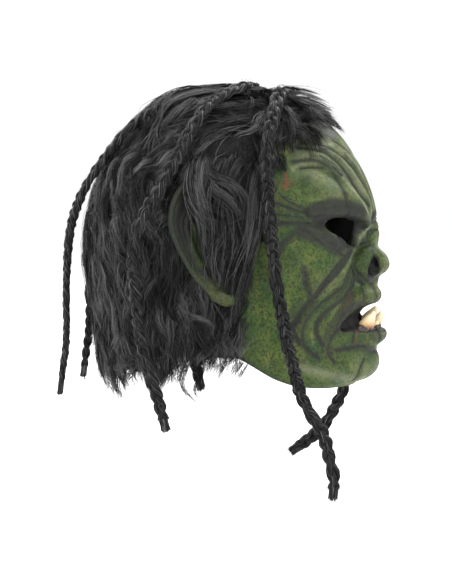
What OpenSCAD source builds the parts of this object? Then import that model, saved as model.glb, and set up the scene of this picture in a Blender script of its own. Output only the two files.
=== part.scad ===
// Full-head latex monster mask with a fur wig and six plaited braids, millimetres.
// Origin at the centre of the neck opening, +Z up, the face looks along -Y,
// so the wearer's right side is at -X.

/* [Head] */
// Thickness of the cast latex
wall = 3; // [2:0.5:4]
// Height of the crown above the neck opening
crown_h = 246; // [243:1:251]
// How far the nose stands out of the face
nose_out = 22; // [16:1:26]
// Width of the mouth opening
mouth_w = 70; // [60:2:76]
// Height of each eye hole
eye_h = 15; // [10:1:18]
// Width of each eye hole
eye_w = 27; // [20:1:30]

/* [Ears] */
// Radius of the rolled rim of an ear
ear_rim_r = 4.2; // [3.5:0.1:5]

/* [Wig] */
// Length that the pile stands off the latex at the crown
pile_top = 10; // [7:0.5:10]
// Length that the pile stands off the latex at the back
pile_back = 19; // [15:1:21]
// Gap between neighbouring fur panels, in degrees around the head
seam = 0.5; // [0.3:0.1:1]

/* [Teeth] */
// Height of each tusk above the gum strip
tusk_h = 13; // [9:0.5:15]
// Height of each front tooth above the gum strip
front_tooth_h = 10; // [7:0.5:12]

/* [Braids] */
// Diameter of each braid
braid_d = 12; // [9:0.5:12.5]
// Sideways stand-off of the knot on each braid
knot_r = 8.5; // [7.5:0.5:9]

/* [Hidden] */

latex_green = [0.32, 0.38, 0.24];
hair_black = [0.2, 0.2, 0.2];
braid_black = [0.12, 0.12, 0.12];
ivory = [0.85, 0.78, 0.62];
gum_brown = [0.45, 0.25, 0.2];

// Horizontal sections of the head: height, half width, front, widest place, back.
SECTIONS = [
    [-40, 58, -112, -5, 78],
    [0, 60, -118, -5, 82],
    [8, 63, -131, -4, 86],
    [20, 67, -138, -2, 89],
    [40, 70, -137, 2, 93],
    [62, 74, -132, 5, 97],
    [84, 78, -127, 8, 101],
    [105, 81, -126, 10, 103],
    [128, 83, -127, 10, 103],
    [150, 85, -136, 8, 100],
    [172, 84, -132, 6, 94],
    [194, 79, -123, 2, 85],
    [211, 72, -114, -4, 73],
    [225, 61, -102, -8, 58],
    [236, 48, -85, -12, 42],
    [242, 33, -64, -15, 20],
    [crown_h, 6, -24, -18, -12]];

// Bumps that push the front of the face forward: side, height, two widths, push.
BUMPS = [
    [0, 106, 11, 13, nose_out],
    [0, 130, 8, 16, 0.6 * nose_out],
    [14, 104, 9, 10, 8],
    [0, 80, 24, 10, 12],
    [0, 46, 24, 10, 12],
    [0, 16, 26, 12, 3],
    [34, 160, 15, 10, 5],
    [52, 112, 14, 20, 6]];

function lerp(a, b, t) = a + (b - a) * t;
function clamp(v, low, high) = max(low, min(high, v));
function ease(t) = let (c = clamp(t, 0, 1)) c * c * (3 - 2 * c);
function row_below(z, i = 0) =
    i >= len(SECTIONS) - 2 || SECTIONS[i + 1][0] > z ? i : row_below(z, i + 1);
function section(z) =
    let (i = row_below(z),
        low = SECTIONS[i],
        high = SECTIONS[i + 1],
        t = clamp((z - low[0]) / (high[0] - low[0]), 0, 1))
    [for (k = [1:4]) lerp(low[k], high[k], t)];
function bump(x, z) = let (pushes = [for (b = BUMPS)
        b[4] * exp(-pow((abs(x) - b[0]) / b[2], 2) - pow((z - b[1]) / b[3], 2))])
    pushes * [for (p = pushes) 1];

// A point of the skin at height z and bearing phi: 0 is the front, 90 the wearer's left.
function skin(z, phi) =
    let (s = section(z),
        x = s[0] * sin(phi),
        reach = cos(phi) > 0 ? s[2] - s[1] : s[3] - s[2],
        front = max(0, cos(phi)))
    [x, s[2] - reach * cos(phi) - bump(x, z) * front, z];

// The point that the skin at height z is offset from.
dome_z = 130;
function hub(z) = [0, lerp(-5, -20, ease((z - dome_z) / 100)), min(z, dome_z)];
function off_skin(z, phi, t) =
    let (p = skin(z, phi), d = p - hub(z)) p + t * d / norm(d);

// Height of the mask's lower edge around the head.
rim_side = 36;
rim_back = 18;
function rim(phi) = let (a = abs(phi > 180 ? phi - 360 : phi))
    a < 90 ? rim_side * pow(sin(a), 4)
    : lerp(rim_side, rim_back, ease((a - 90) / 90));

// A closed skin from two grids of points that share their edges: outer and inner.
module two_sided(outer, inner, around) {
    rows = len(outer);
    cols = len(outer[0]);
    n = rows * cols;
    last = around ? cols : cols - 1;
    function centre(ring) = [for (k = [0:2]) [for (p = ring) p[k]] * [for (p = ring) 1 / cols]];
    points = concat([for (r = outer) each r], [for (r = inner) each r],
        [centre(outer[rows - 1]), centre(inner[rows - 1])]);
    function at(r, c) = r * cols + c % cols;
    sides = [for (r = [0:rows - 2]) for (c = [0:last - 1])
        each [[at(r, c), at(r + 1, c), at(r + 1, c + 1)], [at(r, c), at(r + 1, c + 1), at(r, c + 1)]]];
    backs = [for (f = sides) [f[0] + n, f[2] + n, f[1] + n]];
    low = [for (c = [0:last - 1])
        each [[at(0, c), at(0, c + 1), at(0, c + 1) + n], [at(0, c), at(0, c + 1) + n, at(0, c) + n]]];
    top = rows - 1;
    high = around
        ? [for (c = [0:last - 1]) each
            [[at(top, c), 2 * n, at(top, c + 1)], [at(top, c) + n, at(top, c + 1) + n, 2 * n + 1]]]
        : [for (c = [0:last - 1])
            each [[at(top, c), at(top, c) + n, at(top, c + 1) + n], [at(top, c), at(top, c + 1) + n, at(top, c + 1)]]];
    end = cols - 1;
    ends = around ? [] : [for (r = [0:rows - 2]) each [
        [at(r, 0), at(r, 0) + n, at(r + 1, 0) + n], [at(r, 0), at(r + 1, 0) + n, at(r + 1, 0)],
        [at(r, end), at(r + 1, end) + n, at(r, end) + n], [at(r, end), at(r + 1, end), at(r + 1, end) + n]]];
    polyhedron(points, concat(sides, backs, low, high, ends));
}

// ---- Latex head ----
HEAD_COLS = 48;
HEAD_ROWS = 26;
// How far the edge turns in under the chin, as a share of the head's depth.
web = 0.3;
web_rise = 6;
function head_row(v, t) = [for (c = [0:HEAD_COLS - 1])
    let (phi = c * 360 / HEAD_COLS, z = lerp(rim(phi), crown_h - 0.5, v)) off_skin(z, phi, t)];
function web_row(t, lift) = [for (c = [0:HEAD_COLS - 1])
    let (phi = c * 360 / HEAD_COLS,
        z = rim(phi),
        p = off_skin(z, phi, t),
        share = web * pow(max(0, cos(phi)), 0.7),
        middle = [0, -5, z])
    lerp(p, middle, share) + [0, 0, lift + web_rise * share]];
function ring_heights() = [for (i = [0:HEAD_ROWS]) 1 - pow(1 - i / HEAD_ROWS, 1.35)];

module head_solid() {
    rows = [for (v = ring_heights()) head_row(v, 0)];
    n = HEAD_COLS;
    tall = len(rows);
    faces = concat(
        [[for (c = [n - 1:-1:0]) c]],
        [[for (c = [0:n - 1]) (tall - 1) * n + c]],
        [for (r = [0:tall - 2]) for (c = [0:n - 1]) let (a = r * n + c, b = r * n + (c + 1) % n)
            each [[a, a + n, b + n], [a, b + n, b]]]);
    polyhedron([for (r = rows) each r], [for (f = faces) [for (i = [len(f) - 1:-1:0]) f[i]]]);
}

module ball(p, r, detail = 16) {
    translate(p) sphere(r, $fn = detail);
}

module link(p, q, r1, r2, detail = 12) {
    hull() {
        ball(p, r1, detail);
        ball(q, r2, detail);
    }
}

eye_x = 36;
eye_z = 143;
module eye_hole() {
    half = (eye_w - eye_h) / 2;
    hull() {
        link([-half, -145, 0], [half, -145, 2], eye_h / 2, eye_h / 2 - 1);
        link([-half, -85, 0], [half, -85, 2], eye_h / 2, eye_h / 2 - 1);
    }
}

// The mouth is open right through in the middle; its corners are only grooves.
module mouth_hole() {
    side = mouth_w / 2 - 6;
    for (s = [-1, 1]) {
        link([0, -150, 62], [s * 16, -145, 61], 11, 10);
        link([s * 16, -145, 61], [s * side, -130, 55], 10, 5);
        link([0, -132, 62], [s * 14, -129, 61.5], 11, 10);
    }
}

module nostril_hole() {
    link([13, -150, 100], [11, -128, 106], 4, 4.5);
}

module latex_head() {
    color(latex_green)
    difference() {
        two_sided(
            concat([web_row(0, 0)], [for (v = ring_heights()) head_row(v, 0)]),
            concat([web_row(-wall, wall)],
                [for (v = ring_heights()) [for (p = head_row(v, -wall)) p + [0, 0, wall * (1 - v)]]]),
            true);
        for (s = [-1, 1]) {
            translate([s * eye_x, 0, eye_z]) eye_hole();
            scale([s, 1, 1]) nostril_hole();
        }
        mouth_hole();
    }
}

// ---- Ears ----
// The rim of the wearer's left ear, from its front root over the top to the lobe.
EAR_RIM = [
    [82, -28, 172], [92, -8, 184], [97, 12, 184], [102, 24, 170], [103, 27, 150],
    [101, 22, 132], [97, 11, 110], [92, -3, 92], [88, -16, 82], [83, -26, 86]];
ear_heart = [84, -8, 130];
bowl_r = 1.8;

module ear_shape(grow) {
    last = len(EAR_RIM) - 1;
    for (i = [0:last - 1]) {
        link(EAR_RIM[i], EAR_RIM[i + 1], ear_rim_r + grow, ear_rim_r + grow);
        hull() {
            ball(EAR_RIM[i], bowl_r + grow, 10);
            ball(EAR_RIM[i + 1], bowl_r + grow, 10);
            ball(ear_heart, bowl_r + grow, 10);
        }
    }
}

module ear_left() {
    color(latex_green)
    difference() {
        ear_shape(0);
        head_solid();
    }
}

module ear_right() {
    mirror([1, 0, 0]) ear_left();
}

// ---- Fur panels ----
fringe_half = 54;
side_back = 125;
panel_top = 223;
fur_gap = 1.2;
// Hairline height over the forehead, and its bearing down the cheek.
function hairline_z(phi) = 227 - 14 * clamp(abs(phi) / 45, 0, 1);
function hairline_phi(z) = lerp(65, fringe_half + seam, ease((z - 110) / 95)) + 7 * ease((110 - z) / 70);
// The pile falls away from the neck below the mask's edge.
function fur_in(z) = fur_gap + 0.28 * max(0, 24 - z);
function flare(z) = 5 * ease((60 - z) / 60);
function spike(phi, n, tall) = tall * abs((phi * n / 360) % 1 - 0.5);

function back_low(phi) = -14 - spike(phi, 30, 30);
function side_low(u) = lerp(34, -8, ease(u * 1.3)) - spike(u * 360, 7, 18 * u);

module fur_crown() {
    cols = 40;
    rows = 8;
    function low(phi) = let (a = abs(phi > 180 ? phi - 360 : phi))
        a < fringe_half ? hairline_z(a) + 10.5 : panel_top + seam;
    function grid(t) = [for (r = [0:rows]) [for (c = [0:cols - 1])
        let (phi = c * 360 / cols,
            z = lerp(low(phi), crown_h - 0.5, 1 - pow(1 - r / rows, 1.5)))
        off_skin(z, phi, t > 0 ? pile_top : fur_gap)]];
    color(hair_black) two_sided(grid(1), grid(0), true);
}

module fur_fringe() {
    cols = 18;
    rows = 3;
    function grid(t) = [for (r = [0:rows]) [for (c = [0:cols])
        let (phi = lerp(-fringe_half, fringe_half, c / cols),
            z = hairline_z(phi) + 10 * r / rows - spike(phi, 20, 5) * (rows - r) / rows)
        off_skin(z, phi, t > 0 ? lerp(4, pile_top - 1, r / rows) : fur_gap)]];
    color(hair_black) two_sided(grid(1), grid(0), false);
}

module fur_side() {
    cols = 12;
    rows = 24;
    function grid(t) = [for (r = [0:rows]) [for (c = [0:cols])
        let (u = c / cols,
            z = lerp(side_low(u), panel_top, r / rows),
            phi = lerp(hairline_phi(z), side_back - seam / 2, u),
            pile = lerp(5, pile_back - 3, ease(u * 2)) + flare(z))
        off_skin(z, phi, t > 0 ? pile : min(fur_in(z), pile - 3))]];
    difference() {
        two_sided(grid(1), grid(0), false);
        ear_shape(1);
    }
}

module fur_side_left() {
    color(hair_black) fur_side();
}

module fur_side_right() {
    color(hair_black) mirror([1, 0, 0]) fur_side();
}

module fur_back() {
    cols = 20;
    rows = 24;
    function grid(t) = [for (r = [0:rows]) [for (c = [0:cols])
        let (phi = lerp(side_back + seam / 2, 360 - side_back - seam / 2, c / cols),
            z = lerp(back_low(phi), panel_top, r / rows))
        off_skin(z, phi, t > 0 ? pile_back + flare(z) : fur_in(z))]];
    color(hair_black) two_sided(grid(1), grid(0), false);
}

// ---- Teeth ----
// The gum strip lies along the top of the lower lip; this is its left half.
STRIP = [[0, -139, 50], [9, -138, 50.5], [15, -135, 51], [20, -132, 52]];
strip_r = 3.2;

module strip_solid() {
    for (s = [-1, 1]) scale([s, 1, 1]) for (i = [0:len(STRIP) - 2])
        link(STRIP[i], STRIP[i + 1], strip_r, strip_r, 10);
}

module tooth_strip() {
    color(gum_brown)
    difference() {
        strip_solid();
        latex_head();
    }
}

module tooth(base, width, tip, tip_r) {
    color(ivory)
    difference() {
        hull() {
            translate(base) scale([width, 0.75 * width, 1.6]) sphere(1, $fn = 20);
            ball(tip, tip_r, 12);
        }
        strip_solid();
        latex_head();
    }
}

module tusk(s) {
    tooth([s * 19, -133.5, 54.6], 5.4, [s * 18, -139, 54 + tusk_h], 1.2);
}

module tooth_front(s) {
    tooth([s * 4.2, -139, 54.4], 3.4, [s * 4, -145, 53 + front_tooth_h], 1.6);
}

module tooth_small(s) {
    tooth([s * 10.8, -137.5, 54.6], 2.2, [s * 11, -141, 56.5], 1.5);
}

// ---- Braids ----
// Routes run from the knot on the wig to the loose end. The first points lie on the
// wig, and the tail starts at the point numbered in its own *_SPLIT.
FRONT_RIGHT = [
    [-24, -58, 260], [-42, -56, 254], [-61, -55, 243], [-79, -53, 226], [-91, -52, 206],
    [-96, -53, 186], [-97, -54, 165], [-96, -56, 143], [-95, -59, 120], [-94, -61, 98],
    [-93, -65, 76], [-91, -69, 52], [-89, -75, 28], [-88, -81, 5], [-88, -91, -14],
    [-88, -101, -31], [-88, -106, -50], [-88, -110, -67], [-88, -109, -85]];
FRONT_SPLIT = 6;
FRONT_LEFT = [
    [24, -58, 260], [42, -57, 254], [61, -58, 242], [78, -60, 226], [89, -63, 206],
    [94, -69, 186], [94, -76, 165], [93, -84, 143], [91, -91, 120], [88, -98, 98],
    [85, -103, 76], [82, -107, 52], [80, -110, 28], [78, -112, 5], [76, -107, -18],
    [75, -98, -38], [74, -88, -55], [73, -73, -69], [72, -57, -81]];
MIDDLE_RIGHT = [
    [-14, -28, 264], [-34, -18, 261], [-56, -6, 254], [-78, 6, 239], [-94, 16, 218],
    [-103, 26, 197], [-107, 36, 178], [-108, 47, 160], [-108, 56, 140], [-106, 59, 118],
    [-104, 58, 96], [-103, 56, 74], [-102, 54, 52], [-101, 49, 32], [-100, 44, 14],
    [-99, 38, -6], [-98, 33, -28]];
MIDDLE_SPLIT = 8;
MIDDLE_LEFT = [for (p = MIDDLE_RIGHT) [-p[0], p[1], p[2]]];
BACK_RIGHT = [
    [-38, 56, 249], [-44, 79, 234], [-49, 94, 211], [-52, 107, 189], [-52, 117, 167],
    [-51, 124, 145], [-49, 128, 123], [-47, 130, 101], [-46, 131, 79], [-46, 131, 57],
    [-46, 132, 35], [-46, 135, 14], [-46, 138, -8]];
BACK_SPLIT = 4;
BACK_LEFT = [for (p = BACK_RIGHT) [-p[0], p[1], p[2]]];

// Space left between the lying stretch and the tail's rounded top, so that the tail can swing.
bend_gap = 0.6;
braid_sides = 10;
taper_back = 0.72;

function unit(v) = v / norm(v);
function along(route, i) = let (last = len(route) - 1)
    unit(route[min(i + 1, last)] - route[max(i - 1, 0)]);
function ring(p, d, r) =
    let (side = unit(cross(d, [0, 1, 0])), up = cross(d, side))
    [for (k = [0:braid_sides - 1]) let (a = 360 * k / braid_sides) p + r * (cos(a) * side + sin(a) * up)];
function cut(route, from, to) = [for (i = [from:to]) route[i]];
function shift_first(route, t) = concat([route[0] + t * unit(route[1] - route[0])], cut(route, 1, len(route) - 1));
function shift_last(route, t) = let (n = len(route) - 1)
    concat(cut(route, 0, n - 1), [route[n] - t * unit(route[n] - route[n - 1])]);

// A tube with flat ends swept along a route, from radius r1 to radius r2.
module tube(route, r1, r2) {
    n = len(route);
    m = braid_sides;
    rings = [for (i = [0:n - 1]) ring(route[i], along(route, i), lerp(r1, r2, i / (n - 1)))];
    sides = [for (i = [0:n - 2]) for (k = [0:m - 1])
        let (a = i * m + k, b = i * m + (k + 1) % m) each [[a, b, b + m], [a, b + m, a + m]]];
    ends = [[for (k = [m - 1:-1:0]) k], [for (k = [0:m - 1]) (n - 1) * m + k]];
    polyhedron([for (r = rings) each r], [for (f = concat(sides, ends)) [for (i = [len(f) - 1:-1:0]) f[i]]]);
}

tip_len = 10;
module lying(route, split) {
    color(braid_black)
    tube(shift_last(cut(route, 0, split), braid_d / 2 + bend_gap), braid_d / 2, braid_d / 2);
}

module tail(route, split, share) {
    color(braid_black) {
        tube(shift_last(cut(route, split, len(route) - 1), tip_len), braid_d / 2, share * braid_d / 2);
        ball(route[split], braid_d / 2 - 0.05, 20);
    }
}

// The sealed end, a short stub that is a little fuller than the braid.
module tip(route, share) {
    n = len(route) - 1;
    back = unit(route[n] - route[n - 1]);
    start = route[n] - tip_len * back;
    color(braid_black)
    tube([start, lerp(start, route[n], 0.4), route[n]], share * braid_d / 2, 1.08 * share * braid_d / 2);
}

// The doubled end of a braid, folded over and sewn down to the wig.
module knot(route) {
    d = unit(route[1] - route[0]);
    color(braid_black)
    difference() {
        hull() {
            ball(route[0] - 2 * d, knot_r - 1, 16);
            ball(route[0] - 9 * d, knot_r - 2.5, 16);
        }
        tube(cut(route, 0, 2), braid_d / 2, braid_d / 2);
        wig_solid();
    }
}

module wig_solid() {
    fur_crown();
    fur_back();
}

latex_head();
ear_right();
ear_left();
fur_crown();
fur_fringe();
fur_side_right();
fur_side_left();
fur_back();
tooth_strip();
tusk(-1);  // tusk_right
tusk(1);  // tusk_left
tooth_front(-1);  // tooth_front_right
tooth_front(1);  // tooth_front_left
tooth_small(-1);  // tooth_small_right
tooth_small(1);  // tooth_small_left
knot(FRONT_RIGHT);  // knot_front_right
lying(FRONT_RIGHT, FRONT_SPLIT);  // braid_front_right
tail(FRONT_RIGHT, FRONT_SPLIT, 1);  // braid_front_right_tail
tip(FRONT_RIGHT, 1);  // tip_front_right
knot(MIDDLE_RIGHT);  // knot_middle_right
lying(MIDDLE_RIGHT, MIDDLE_SPLIT);  // braid_middle_right
tail(MIDDLE_RIGHT, MIDDLE_SPLIT, 0.9);  // braid_middle_right_tail
tip(MIDDLE_RIGHT, 0.9);  // tip_middle_right
knot(BACK_RIGHT);  // knot_back_right
lying(BACK_RIGHT, BACK_SPLIT);  // braid_back_right
tail(BACK_RIGHT, BACK_SPLIT, taper_back);  // braid_back_right_tail
tip(BACK_RIGHT, taper_back);  // tip_back_right
knot(FRONT_LEFT);  // knot_front_left
lying(FRONT_LEFT, FRONT_SPLIT);  // braid_front_left
tail(FRONT_LEFT, FRONT_SPLIT, 1);  // braid_front_left_tail
tip(FRONT_LEFT, 1);  // tip_front_left
knot(MIDDLE_LEFT);  // knot_middle_left
lying(MIDDLE_LEFT, MIDDLE_SPLIT);  // braid_middle_left
tail(MIDDLE_LEFT, MIDDLE_SPLIT, 0.9);  // braid_middle_left_tail
tip(MIDDLE_LEFT, 0.9);  // tip_middle_left
knot(BACK_LEFT);  // knot_back_left
lying(BACK_LEFT, BACK_SPLIT);  // braid_back_left
tail(BACK_LEFT, BACK_SPLIT, taper_back);  // braid_back_left_tail
tip(BACK_LEFT, taper_back);  // tip_back_left
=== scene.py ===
"""Latex monster mask: the looks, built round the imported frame. Shapes are worked out in millimetres."""
import math

import bpy
import numpy as np
import openvdb
from mathutils import Matrix, Vector
from mathutils.bvhtree import BVHTree


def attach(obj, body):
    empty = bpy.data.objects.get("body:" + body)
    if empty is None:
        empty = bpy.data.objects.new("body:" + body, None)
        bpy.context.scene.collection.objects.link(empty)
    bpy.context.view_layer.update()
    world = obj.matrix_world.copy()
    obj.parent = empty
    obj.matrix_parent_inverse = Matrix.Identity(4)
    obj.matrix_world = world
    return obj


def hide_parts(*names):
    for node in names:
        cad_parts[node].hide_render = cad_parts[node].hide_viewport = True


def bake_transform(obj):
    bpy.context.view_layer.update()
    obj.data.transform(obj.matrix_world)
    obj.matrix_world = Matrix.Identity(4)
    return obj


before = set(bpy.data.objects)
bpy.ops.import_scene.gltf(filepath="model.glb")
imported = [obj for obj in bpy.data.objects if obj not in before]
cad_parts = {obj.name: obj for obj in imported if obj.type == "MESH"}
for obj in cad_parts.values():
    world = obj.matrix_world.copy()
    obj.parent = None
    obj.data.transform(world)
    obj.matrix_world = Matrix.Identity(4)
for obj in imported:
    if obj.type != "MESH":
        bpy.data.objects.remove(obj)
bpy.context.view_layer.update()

MM = 0.001
# A direction that few lines follow, from which a tube's cross-section is turned.
ODD_WAY = np.array([0.31, 0.87, 0.17])
HAIR_END = 0.02  # a hair's radius at both ends
SIDES = ((1, "left"), (-1, "right"))
scene = bpy.context.scene


# ---------------------------------------------------------------- helpers

def smooth_step(t):
    """Eases from 0 to 1 as t goes from 0 to 1."""
    t = np.clip(t, 0.0, 1.0)
    return t * t * (3.0 - 2.0 * t)


def unit(v):
    return v / np.maximum(np.linalg.norm(v, axis=-1, keepdims=True), 1e-9)


def lengths_along(path):
    return np.r_[0, np.cumsum(np.linalg.norm(np.diff(path, axis=0), axis=1))]


def spline(points, step):
    """A smooth line through the points, with a point every step millimetres."""
    p = np.asarray(points, float)
    p = np.vstack([2 * p[0] - p[1], p, 2 * p[-1] - p[-2]])
    out = []
    for i in range(1, len(p) - 2):
        a, b, c, d = p[i - 1], p[i], p[i + 1], p[i + 2]
        n = max(4, int(np.linalg.norm(c - b) / step * 4))
        t = np.linspace(0, 1, n, endpoint=False)[:, None]
        out.append(0.5 * (2 * b + (c - a) * t + (2 * a - 5 * b + 4 * c - d) * t ** 2
                          + (3 * b - a - 3 * c + d) * t ** 3))
    dense = np.vstack(out + [p[-2:-1]])
    along = lengths_along(dense)
    count = max(3, int(round(along[-1] / step)) + 1)
    s = np.linspace(0, along[-1], count)
    return np.stack([np.interp(s, along, dense[:, k]) for k in range(dense.shape[1])], axis=1)


def new_mesh(name, points, faces, smooth=True):
    """A mesh object from points in millimetres and faces that all have the same number of corners."""
    points = np.asarray(points, np.float32) * MM
    faces = np.asarray(faces, np.int32)
    mesh = bpy.data.meshes.new(name)
    mesh.vertices.add(len(points))
    mesh.vertices.foreach_set("co", points.ravel())
    corners = faces.shape[1]
    mesh.loops.add(faces.size)
    mesh.loops.foreach_set("vertex_index", faces.ravel())
    mesh.polygons.add(len(faces))
    mesh.polygons.foreach_set("loop_start", np.arange(0, faces.size, corners, dtype=np.int32))
    mesh.polygons.foreach_set("use_smooth", np.full(len(faces), smooth, bool))
    mesh.update(calc_edges=True)
    obj = bpy.data.objects.new(name, mesh)
    scene.collection.objects.link(obj)
    return obj


def tube_faces(count, rings, sides):
    """Quads of count open-ended tubes whose points follow each other in the mesh."""
    ring = np.arange(rings - 1)[:, None] * sides
    k = np.arange(sides)[None, :]
    a = ring + k
    b = ring + (k + 1) % sides
    quads = np.stack([a, b, b + sides, a + sides], axis=-1).reshape(-1, 4)
    start = (np.arange(count) * rings * sides)[:, None, None]
    return (quads[None] + start).reshape(-1, 4)


def sweep(lines, radii, sides):
    """Points of tubes along many lines (count, rings, 3) with radii (count, rings)."""
    tangent = unit(np.gradient(lines, axis=1))
    side = unit(np.cross(tangent, np.broadcast_to(ODD_WAY, tangent.shape)))
    up = np.cross(tangent, side)
    turn = np.arange(sides) * 2 * np.pi / sides
    offset = (np.cos(turn)[:, None] * side[:, :, None, :] + np.sin(turn)[:, None] * up[:, :, None, :])
    return lines[:, :, None, :] + radii[:, :, None, None] * offset


def tubes(lines, radii, sides, end, tones=0):
    """Points and quads of many tubes whose ends narrow to the radius end, and each quad's material number."""
    radii = np.array(radii, float)
    radii[:, [0, -1]] = end
    count, rings = radii.shape
    number = np.repeat(np.broadcast_to(tones, count), (rings - 1) * sides)
    return sweep(np.asarray(lines, float), radii, sides).reshape(-1, 3), tube_faces(count, rings, sides), number


def use_material(obj, material):
    obj.data.materials.clear()
    obj.data.materials.append(material)


# ---------------------------------------------------------------- camera, light and floor

VIEW_AZIMUTH = math.radians(278)
VIEW_ELEVATION = math.radians(7)
VIEW_DISTANCE = 1.46
VIEW_TARGET = Vector((0.0, -0.005, 0.080))
LENS = 100
FLOOR_Z = -0.118
FLOOR_HALF = 3000
WORLD_STRENGTH = 1.02


def make_camera():
    data = bpy.data.cameras.new("camera")
    data.lens = LENS
    camera = bpy.data.objects.new("camera", data)
    scene.collection.objects.link(camera)
    back = Vector((math.sin(VIEW_AZIMUTH) * math.cos(VIEW_ELEVATION),
                   -math.cos(VIEW_AZIMUTH) * math.cos(VIEW_ELEVATION),
                   math.sin(VIEW_ELEVATION)))
    camera.location = VIEW_TARGET + VIEW_DISTANCE * back
    camera.rotation_mode = "QUATERNION"
    camera.rotation_quaternion = (-back).to_track_quat("-Z", "Y")
    scene.camera = camera


def area_light(name, place, target, size, power):
    data = bpy.data.lights.new(name, "AREA")
    data.size = size
    data.energy = power
    lamp = bpy.data.objects.new(name, data)
    scene.collection.objects.link(lamp)
    lamp.location = place
    lamp.rotation_euler = (Vector(target) - Vector(place)).to_track_quat("-Z", "Y").to_euler()


def make_studio():
    world = bpy.data.worlds.new("studio")
    scene.world = world
    world.use_nodes = True
    background = world.node_tree.nodes["Background"]
    background.inputs["Color"].default_value = (1, 1, 1, 1)
    background.inputs["Strength"].default_value = WORLD_STRENGTH
    scene.view_settings.view_transform = "Standard"
    area_light("key", (-1.3, -1.1, 1.5), (0, 0, 0.12), 0.9, 15)
    area_light("fill", (-1.6, 0.9, 0.7), (0, 0, 0.10), 1.2, 5)
    area_light("rim", (0.9, -0.6, 1.4), (0, 0, 0.15), 0.8, 19)
    area_light("back", (0.9, 1.4, 0.9), (0, 0, 0.10), 1.0, 14)
    area_light("top", (-0.35, 0.05, 1.75), (0, 0, 0.12), 0.8, 7)
    corners = np.array([(-1, -1, 0), (1, -1, 0), (1, 1, 0), (-1, 1, 0)]) * FLOOR_HALF
    floor = new_mesh("floor", corners + [0, 0, FLOOR_Z / MM], [[0, 1, 2, 3]], smooth=False)
    white = bpy.data.materials.new("floor_white")
    white.use_nodes = True
    shader = white.node_tree.nodes["Principled BSDF"]
    shader.inputs["Base Color"].default_value = (0.95, 0.95, 0.95, 1)
    shader.inputs["Roughness"].default_value = 0.9
    use_material(floor, white)


make_camera()
make_studio()


# ---------------------------------------------------------------- materials

class Shader:
    """A principled material whose nodes are added by short calls."""

    def __init__(self, name, roughness, **fixed):
        self.material = bpy.data.materials.new(name)
        self.material.use_nodes = True
        self.tree = self.material.node_tree
        self.main = self.tree.nodes["Principled BSDF"]
        for key, value in dict(fixed, Roughness=roughness).items():
            self.feed(self.main.inputs[key.replace("_", " ")], value)
        self.place = self.node("TexCoord").outputs["Object"]

    def feed(self, socket, value):
        """Gives a socket another node's output, a colour or a number."""
        if isinstance(value, bpy.types.NodeSocket):
            self.tree.links.new(value, socket)
        else:
            socket.default_value = (*value, 1) if isinstance(value, tuple) else value

    def node(self, kind, **values):
        """A new node, with its sockets fed by name."""
        node = self.tree.nodes.new("ShaderNode" + kind)
        for key, value in values.items():
            self.feed(node.inputs[key], value)
        return node

    def noise(self, scale, detail=4, rough=0.6, at=None):
        node = self.node("TexNoise", Scale=scale, Detail=detail, Roughness=rough, Vector=at or self.place)
        return node.outputs["Fac"]

    def cells(self, scale):
        return self.node("TexVoronoi", Scale=scale, Vector=self.place).outputs["Distance"]

    def stretched(self, *scale):
        return self.node("Mapping", Scale=list(scale), Vector=self.place).outputs["Vector"]

    def attribute(self, name):
        node = self.node("Attribute")
        node.attribute_name = name
        return node.outputs["Fac"]

    def ramp(self, value, *stops):
        """Maps value to a colour or grey: stops are (place, colour)."""
        node = self.node("ValToRGB", Fac=value)
        points = node.color_ramp.elements
        while len(points) < len(stops):
            points.new(0.5)
        for point, (place, colour) in zip(points, stops):
            point.position = place
            point.color = (*colour, 1) if isinstance(colour, tuple) else (colour, colour, colour, 1)
        return node.outputs["Color"]

    def math(self, kind, a, b):
        node = self.node("Math")
        node.operation = kind
        node.use_clamp = True
        self.feed(node.inputs[0], a)
        self.feed(node.inputs[1], b)
        return node.outputs["Value"]

    def mix(self, factor, a, b):
        node = self.node("Mix")
        node.data_type = "RGBA"
        for number, value in ((0, factor), (6, a), (7, b)):
            self.feed(node.inputs[number], value)
        return node.outputs[2]

    def bump(self, height, distance, strength, **under):
        return self.node("Bump", Distance=distance, Strength=strength, Height=height, **under).outputs["Normal"]

    def finish(self, **looks):
        """Feeds the shader itself and gives the material."""
        for key, value in looks.items():
            self.feed(self.main.inputs[key.replace("_", " ")], value)
        return self.material


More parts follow.
